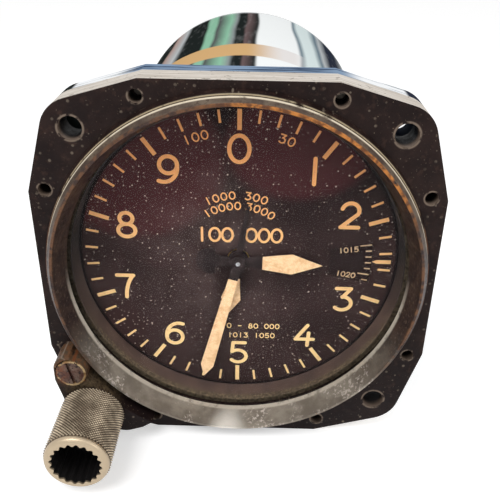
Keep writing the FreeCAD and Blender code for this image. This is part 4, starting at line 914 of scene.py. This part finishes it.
def grown(name, tree, **values):
    """Runs a geometry node tree and returns its result as a plain mesh."""
    carrier = bpy.data.objects.new(name, bpy.data.meshes.new(name + "_start"))
    scene.collection.objects.link(carrier)
    modifier = carrier.modifiers.new("growth", "NODES")
    modifier.node_group = tree
    for item in tree.interface.items_tree:
        key = item.name.replace(" ", "_")
        if item.in_out == "INPUT" and key in values:
            modifier[item.identifier] = values[key]
    view = bpy.context.evaluated_depsgraph_get()
    mesh = bpy.data.meshes.new_from_object(carrier.evaluated_get(view), depsgraph=view)
    carrier.modifiers.clear()
    bpy.data.objects.remove(carrier)
    mesh.name = name
    return mesh


RING_OF_BARS = make_ring_of_bars()
FULL_TURN = 2 * math.pi


def bars(name, place, start, end, width, **turns):
    """A ring of marks, printed on a body between two radii."""
    body, slot, material, depths = place
    mesh = grown(name, RING_OF_BARS, Inner_Radius=start, Outer_Radius=end, Width=width, Front=depths[0],
                 Back=depths[1], Finish=material, **turns)
    finished(name, mesh, body, slot, material)


# Altitude marks, and the index of the pressure window

LONG_MARKS = 10
SHORT_MARKS = 50
MARK_END = 33.4
INDEX_OUTLINE = [(29.2, 0.0), (30.2, -0.45), (33.3, -0.45), (33.3, 0.45), (30.2, 0.45)]
ON_DIAL = ("root", "dial_paint", FIGURE, dial_print)

bars("dial_long_marks", ON_DIAL, 29.1, MARK_END, 0.9, Count=LONG_MARKS, Step_Turn=FULL_TURN / LONG_MARKS)
bars("dial_short_marks", ON_DIAL, 30.7, MARK_END, 0.5, Count=SHORT_MARKS, Step_Turn=FULL_TURN / SHORT_MARKS,
     Leave_Out_Every=SHORT_MARKS // LONG_MARKS)
shape = bmesh.new()
prism(shape, INDEX_OUTLINE, *dial_print)
built("pressure_index", shape, "root", "dial_paint", FIGURE)

# Pressure scale behind the window: degrees to one unit, and the reading at the window's middle

SCALE_STEP = 2.92
SCALE_READING = 1017.5
SCALE_LOW = 965
SCALE_HIGH = 1050
SCALE_FIGURED = 5
SCALE_TALL = 1.15
SCALE_GAP = 0.34
SCALE_STROKE = 0.12
SCALE_DROP = 0.72
SCALE_TEXT_END = 26.2
scale_print = (SCALE_FRONT - PRINT_THICK, SCALE_FRONT + PRINT_SUNK)


def scale_turn(pressure):
    """Clockwise angle from the top at which a pressure stands."""
    return 90.0 + (pressure - SCALE_READING) * SCALE_STEP


shape = bmesh.new()
for pressure in range(SCALE_LOW, SCALE_HIGH + 1, SCALE_FIGURED):
    along, upwards = directions(scale_turn(pressure))
    text = str(pressure)
    wide = len(text) * (FIGURE_WIDE * SCALE_TALL + SCALE_GAP) - SCALE_GAP
    corner = along * (SCALE_TEXT_END - wide) - upwards * (SCALE_TALL / 2 + SCALE_DROP)
    figures(shape, text, corner, along, SCALE_TALL, SCALE_STROKE, scale_print, SCALE_GAP)
built("pressure_figures", shape, "pressure_scale", "scale_paint", SMALL_FIGURE)

ON_SCALE = ("pressure_scale", "scale_paint", SMALL_FIGURE, scale_print)
first_turn = math.radians(scale_turn(SCALE_LOW))
bars("pressure_long_marks", ON_SCALE, 26.7, 29.2, 0.3, Count=(SCALE_HIGH - SCALE_LOW) // SCALE_FIGURED + 1,
     First_Turn=first_turn, Step_Turn=math.radians(SCALE_FIGURED * SCALE_STEP))
bars("pressure_short_marks", ON_SCALE, 27.85, 29.15, 0.3, Count=SCALE_HIGH - SCALE_LOW + 1,
     First_Turn=first_turn, Step_Turn=math.radians(SCALE_STEP), Leave_Out_Every=SCALE_FIGURED)

# Cream paint on the pointers, at the angles of their blades

CREAM_THICK = 0.14
CREAM_SUNK = 0.02
LONG_ANGLE = 194.4
MEDIUM_ANGLE = 91.4
SHORT_ANGLE = 189.1


def pointer_paint(name, body, angle, front, outline):
    """Thick paint over a blade. The outline gives pairs of reach and half width."""
    along, upwards = directions(angle)
    side = [along * reach + upwards * half for reach, half in outline]
    other = [along * reach - upwards * half for reach, half in reversed(outline) if half > 0]
    shape = bmesh.new()
    prism(shape, side + other, front - CREAM_THICK, front + CREAM_SUNK)
    bmesh.ops.triangulate(shape, faces=shape.faces)
    built(name, shape, body, "pointer_paint", CREAM)


pointer_paint("long_pointer_cream", "centre_arbor", LONG_ANGLE, 6.0,
              [(4.2, 1.05), (28.2, 1.5), (31.4, 0.0)])
pointer_paint("medium_pointer_cream", "medium_pointer", MEDIUM_ANGLE, 6.9,
              [(5.3, 1.55), (11.7, 2.45), (18.3, 0.0)])
pointer_paint("short_pointer_cream", "short_pointer", SHORT_ANGLE, 7.7,
              [(4.6, 1.2), (6.0, 1.3), (10.0, 2.2), (14.0, 0.0)])


# Knob: a knurled sleeve, with a plain lip round the serrated socket

def make_knurl():
    growth = Growth("knurl", [
        ("Around", INTEGER, 80), ("Rows", INTEGER, 40), ("Radius", FLOAT, 6.0), ("Deep", FLOAT, 0.2),
        ("Front", FLOAT, -20.0), ("Back", FLOAT, -7.0), ("Across", FLOAT, 0.0), ("Up", FLOAT, 0.0),
        ("Finish", MATERIAL, None)])
    given = growth.given
    columns = growth.math("MULTIPLY_ADD", given("Around"), 2.0, 1.0)
    rows = growth.plus(given("Rows"), 1.0)
    sheet = growth.node("GeometryNodeMeshGrid", {"Size X": 1.0, "Size Y": 1.0, "Vertices X": columns,
                                                 "Vertices Y": rows})
    index = growth.node("GeometryNodeInputIndex").outputs[0]
    column = growth.math("FLOOR", growth.math("DIVIDE", index, rows))
    row = growth.math("MODULO", index, rows)
    parity = growth.math("MODULO", growth.plus(column, row), 2.0)
    at_front = growth.math("LESS_THAN", row, 0.5)
    at_back = growth.math("GREATER_THAN", row, growth.less(given("Rows"), 0.5))
    peak = growth.both(parity, growth.less(1.0, growth.plus(at_front, at_back)))
    sunk = growth.both(given("Deep"), growth.less(1.0, peak))
    radius = growth.less(given("Radius"), sunk)
    turn = growth.both(growth.math("DIVIDE", column, given("Around")), math.pi)
    share = growth.math("DIVIDE", row, given("Rows"))
    length = growth.less(given("Back"), given("Front"))
    depth = growth.math("MULTIPLY_ADD", share, length, given("Front"))
    x = growth.math("MULTIPLY_ADD", radius, growth.math("COSINE", turn), given("Across"))
    z = growth.math("MULTIPLY_ADD", radius, growth.math("SINE", turn), given("Up"))
    wrapped = growth.node("GeometryNodeSetPosition", {"Geometry": sheet.outputs["Mesh"],
                                                      "Position": growth.joined(x, depth, z)})
    cut = growth.node("GeometryNodeTriangulate", {0: wrapped.outputs[0]}, quad_method="SHORTEST_DIAGONAL")
    closed = growth.node("GeometryNodeMergeByDistance", {"Geometry": cut.outputs[0], "Distance": 0.001})
    return growth.dressed(closed.outputs[0])


KNOB = SLOT_FINISH["knob_aluminium"]
knurl_mesh = grown(
    "knob_knurl", make_knurl(), Around=KNURL_AROUND, Rows=KNURL_ROWS, Deep=KNURL_DEEP,
    Radius=KNOB_RADIUS + KNURL_DEEP + KNURL_PROUD, Front=-KNOB_FRONT + KNOB_LIP,
    Back=-KNOB_BACK - KNURL_SHORT, Across=KNOB_X, Up=KNOB_Z, Finish=KNOB)
shape = bmesh.new()
shape.from_mesh(knurl_mesh)
rims = bmesh.ops.extrude_edge_only(shape, edges=[edge for edge in shape.edges if edge.is_boundary])["geom"]
for vert in rims:
    if isinstance(vert, bmesh.types.BMVert):
        outwards = Vector((vert.co.x - KNOB_X, vert.co.z - KNOB_Z)).normalized() * KNURL_INSIDE
        vert.co = (KNOB_X + outwards.x, vert.co.y, KNOB_Z + outwards.y)
bmesh.ops.bridge_loops(shape, edges=[edge for edge in rims if isinstance(edge, bmesh.types.BMEdge)])
built("knob_knurl", shape, "knob", "knob_aluminium", KNOB)

# Knob body: round front edge, and a socket whose wall zigzags between two radii

def knob_rings():
    """Rings of the knob's skin, from its back to the socket's floor: depth from the front, and radii."""
    length = KNOB_FRONT - KNOB_BACK
    round_edge = [(KNOB_ROUND * (1 - math.sin(turn)), KNOB_RADIUS - KNOB_ROUND * (1 - math.cos(turn)))
                  for turn in (math.radians(15 * step) for step in range(7))]
    for depth, radius in [(length, KNOB_BACK_RING), (length, KNOB_RADIUS)] + round_edge:
        yield depth, [radius] * KNOB_STEPS
    wall = [SOCKET_RADIUS + SOCKET_TOOTH * reach for reach in SOCKET_PROFILE]
    for depth in (0.0, SOCKET_DEEP):
        yield depth, wall * SOCKET_TEETH


shape = bmesh.new()
rings = []
turns = [FULL_TURN * step / KNOB_STEPS for step in range(KNOB_STEPS)]
for depth, radii in knob_rings():
    places = [(KNOB_X + radius * math.cos(turn), depth - KNOB_FRONT, KNOB_Z + radius * math.sin(turn))
              for radius, turn in zip(radii, turns)]
    rings.append([shape.verts.new(place) for place in places])
for near, far in zip(rings, rings[1:]):
    for i in range(KNOB_STEPS):
        following = (i + 1) % KNOB_STEPS
        shape.faces.new((near[i], near[following], far[following], far[i]))
shape.faces.new(rings[0])
shape.faces.new(list(reversed(rings[-1])))
built("knob_body", shape, "knob", "knob_aluminium", KNOB, ("knob",))

# Corner block that stands before the flange, round the knob's bush and the lock screw's collar

def rounded(corners, steps=8):
    """Corners of (x, z, radius). Each one with a radius becomes an arc."""
    points = []
    for i, (x, z, radius) in enumerate(corners):
        here = Vector((x, z))
        if not radius:
            points.append(here)
            continue
        before = (Vector(corners[i - 1][:2]) - here).normalized()
        after = (Vector(corners[(i + 1) % len(corners)][:2]) - here).normalized()
        half = before.angle(after) / 2
        centre = here + (before + after).normalized() * radius / math.sin(half)
        start = here + before * radius / math.tan(half) - centre
        finish = here + after * radius / math.tan(half) - centre
        for step in range(steps + 1):
            points.append(centre + start.lerp(finish, step / steps).normalized() * radius)
    return points


def hole(across, up, radius, steps=40):
    return bow(across, up, radius, radius, 0, 360 - 360 / steps, steps - 1)


BLOCK_HEIGHT = 5.8
BOSS_FOOT = 39.55
BLOCK_CORNERS = [(-35.6, -17.2, 0.0), (-39.2, -17.2, 3.4), (-39.2, -23.5, 0.0), (-35.9, -35.9, 7.0),
                 (-24.4, -37.6, 4.0), (-20.8, -36.4, 0.0)]
BLOCK_EDGE = 0.12
BUSH_GAP = 0.2
COLLAR_GAP = 0.18
collar_low, collar_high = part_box("lock_collar")
COLLAR_X = (collar_low[0] + collar_high[0]) / 2 / MM
COLLAR_Z = (collar_low[2] + collar_high[2]) / 2 / MM
COLLAR_RADIUS = (collar_high[0] - collar_low[0]) / 2 / MM
bush_low, bush_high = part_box("knob_bush")
BUSH_RADIUS = (bush_high[0] - bush_low[0]) / 2 / MM
block_outline = rounded(BLOCK_CORNERS) + bow(0.0, 0.0, BOSS_FOOT, BOSS_FOOT, 242.0, 206.5, 24)


def plate_with_holes(outlines, front, back):
    """A flat plate from closed outlines of (x, z): the first is its edge, the others are holes."""
    plate = bmesh.new()
    rims = []
    for outline in outlines:
        verts = [plate.verts.new((x, front, z)) for x, z in outline]
        rims += [plate.edges.new(ends) for ends in zip(verts, verts[1:] + verts[:1])]
    bmesh.ops.triangle_fill(plate, edges=rims, use_beauty=True)
    behind = bmesh.ops.extrude_face_region(plate, geom=plate.faces[:])["geom"]
    bmesh.ops.translate(plate, verts=[vert for vert in behind if isinstance(vert, bmesh.types.BMVert)],
                        vec=(0.0, back - front, 0.0))
    return plate


knob_hole = hole(KNOB_X, KNOB_Z, BUSH_RADIUS + BUSH_GAP)
collar_hole = hole(COLLAR_X, COLLAR_Z, COLLAR_RADIUS + COLLAR_GAP)
shape = plate_with_holes([block_outline, knob_hole, collar_hole], -BLOCK_HEIGHT, 0.0)
bmesh.ops.recalc_face_normals(shape, faces=shape.faces)
in_front = [edge for edge in shape.edges if all(vert.co.y < -BLOCK_HEIGHT + 0.01 for vert in edge.verts)]
sharp = [edge for edge in in_front if edge.calc_face_angle(0.0) > 1.0]
bmesh.ops.bevel(shape, geom=sharp, offset=BLOCK_EDGE, segments=2, profile=0.5, affect="EDGES")
built("corner_block", shape, "root", "flange_paint", SLOT_FINISH["flange_paint"])

# Floor and light

FLOOR_REACH = 6.0
FLOOR_GLOW = 0.45
SKY_ON_OBJECT = 0.55
SKY_SEEN = 1.0
floor_mesh = bpy.data.meshes.new("floor")
near, far, level = -FLOOR_REACH, FLOOR_REACH, FLOOR_LEVEL * MM
floor_mesh.from_pydata([(near, near, level), (far, near, level), (far, far, level), (near, far, level)], [],
                       [(0, 1, 2, 3)])
floor = bpy.data.objects.new("floor", floor_mesh)
scene.collection.objects.link(floor)
floor_paint = Finish("floor_white", roughness=0.9)
seen = floor_paint.seen_directly()
floor_paint.feed(floor_paint.shader.inputs["Emission Color"], (1.0, 1.0, 1.0, 1.0))
floor_paint.feed(floor_paint.shader.inputs["Emission Strength"], floor_paint.both(seen, FLOOR_GLOW))
floor_paint.paint((0.86, 0.86, 0.86, 1.0))
floor_mesh.materials.append(floor_paint.material)

world = bpy.data.worlds.new("studio")
world.use_nodes = True
scene.world = world
sky = Wires(world.node_tree)
background = world.node_tree.nodes["Background"]
sky.feed(background.inputs["Color"], (1.0, 1.0, 1.0, 1.0))
sky.feed(background.inputs["Strength"], sky.blend(sky.seen_directly(), SKY_ON_OBJECT, SKY_SEEN))


def soft_lamp(name, place, aim, width, power):
    data = bpy.data.lights.new(name, "AREA")
    data.shape = "DISK"
    data.size = width * MM
    data.energy = power
    lamp = bpy.data.objects.new(name, data)
    scene.collection.objects.link(lamp)
    lamp.location = Vector(place) * MM
    lamp.rotation_euler = (Vector(aim) - Vector(place)).to_track_quat("-Z", "Y").to_euler()


soft_lamp("main_lamp", place=(-160, -260, 420), aim=(0, 0, 0), width=260, power=1.3)
soft_lamp("side_lamp", place=(340, -160, 220), aim=(0, 20, 0), width=200, power=0.4)
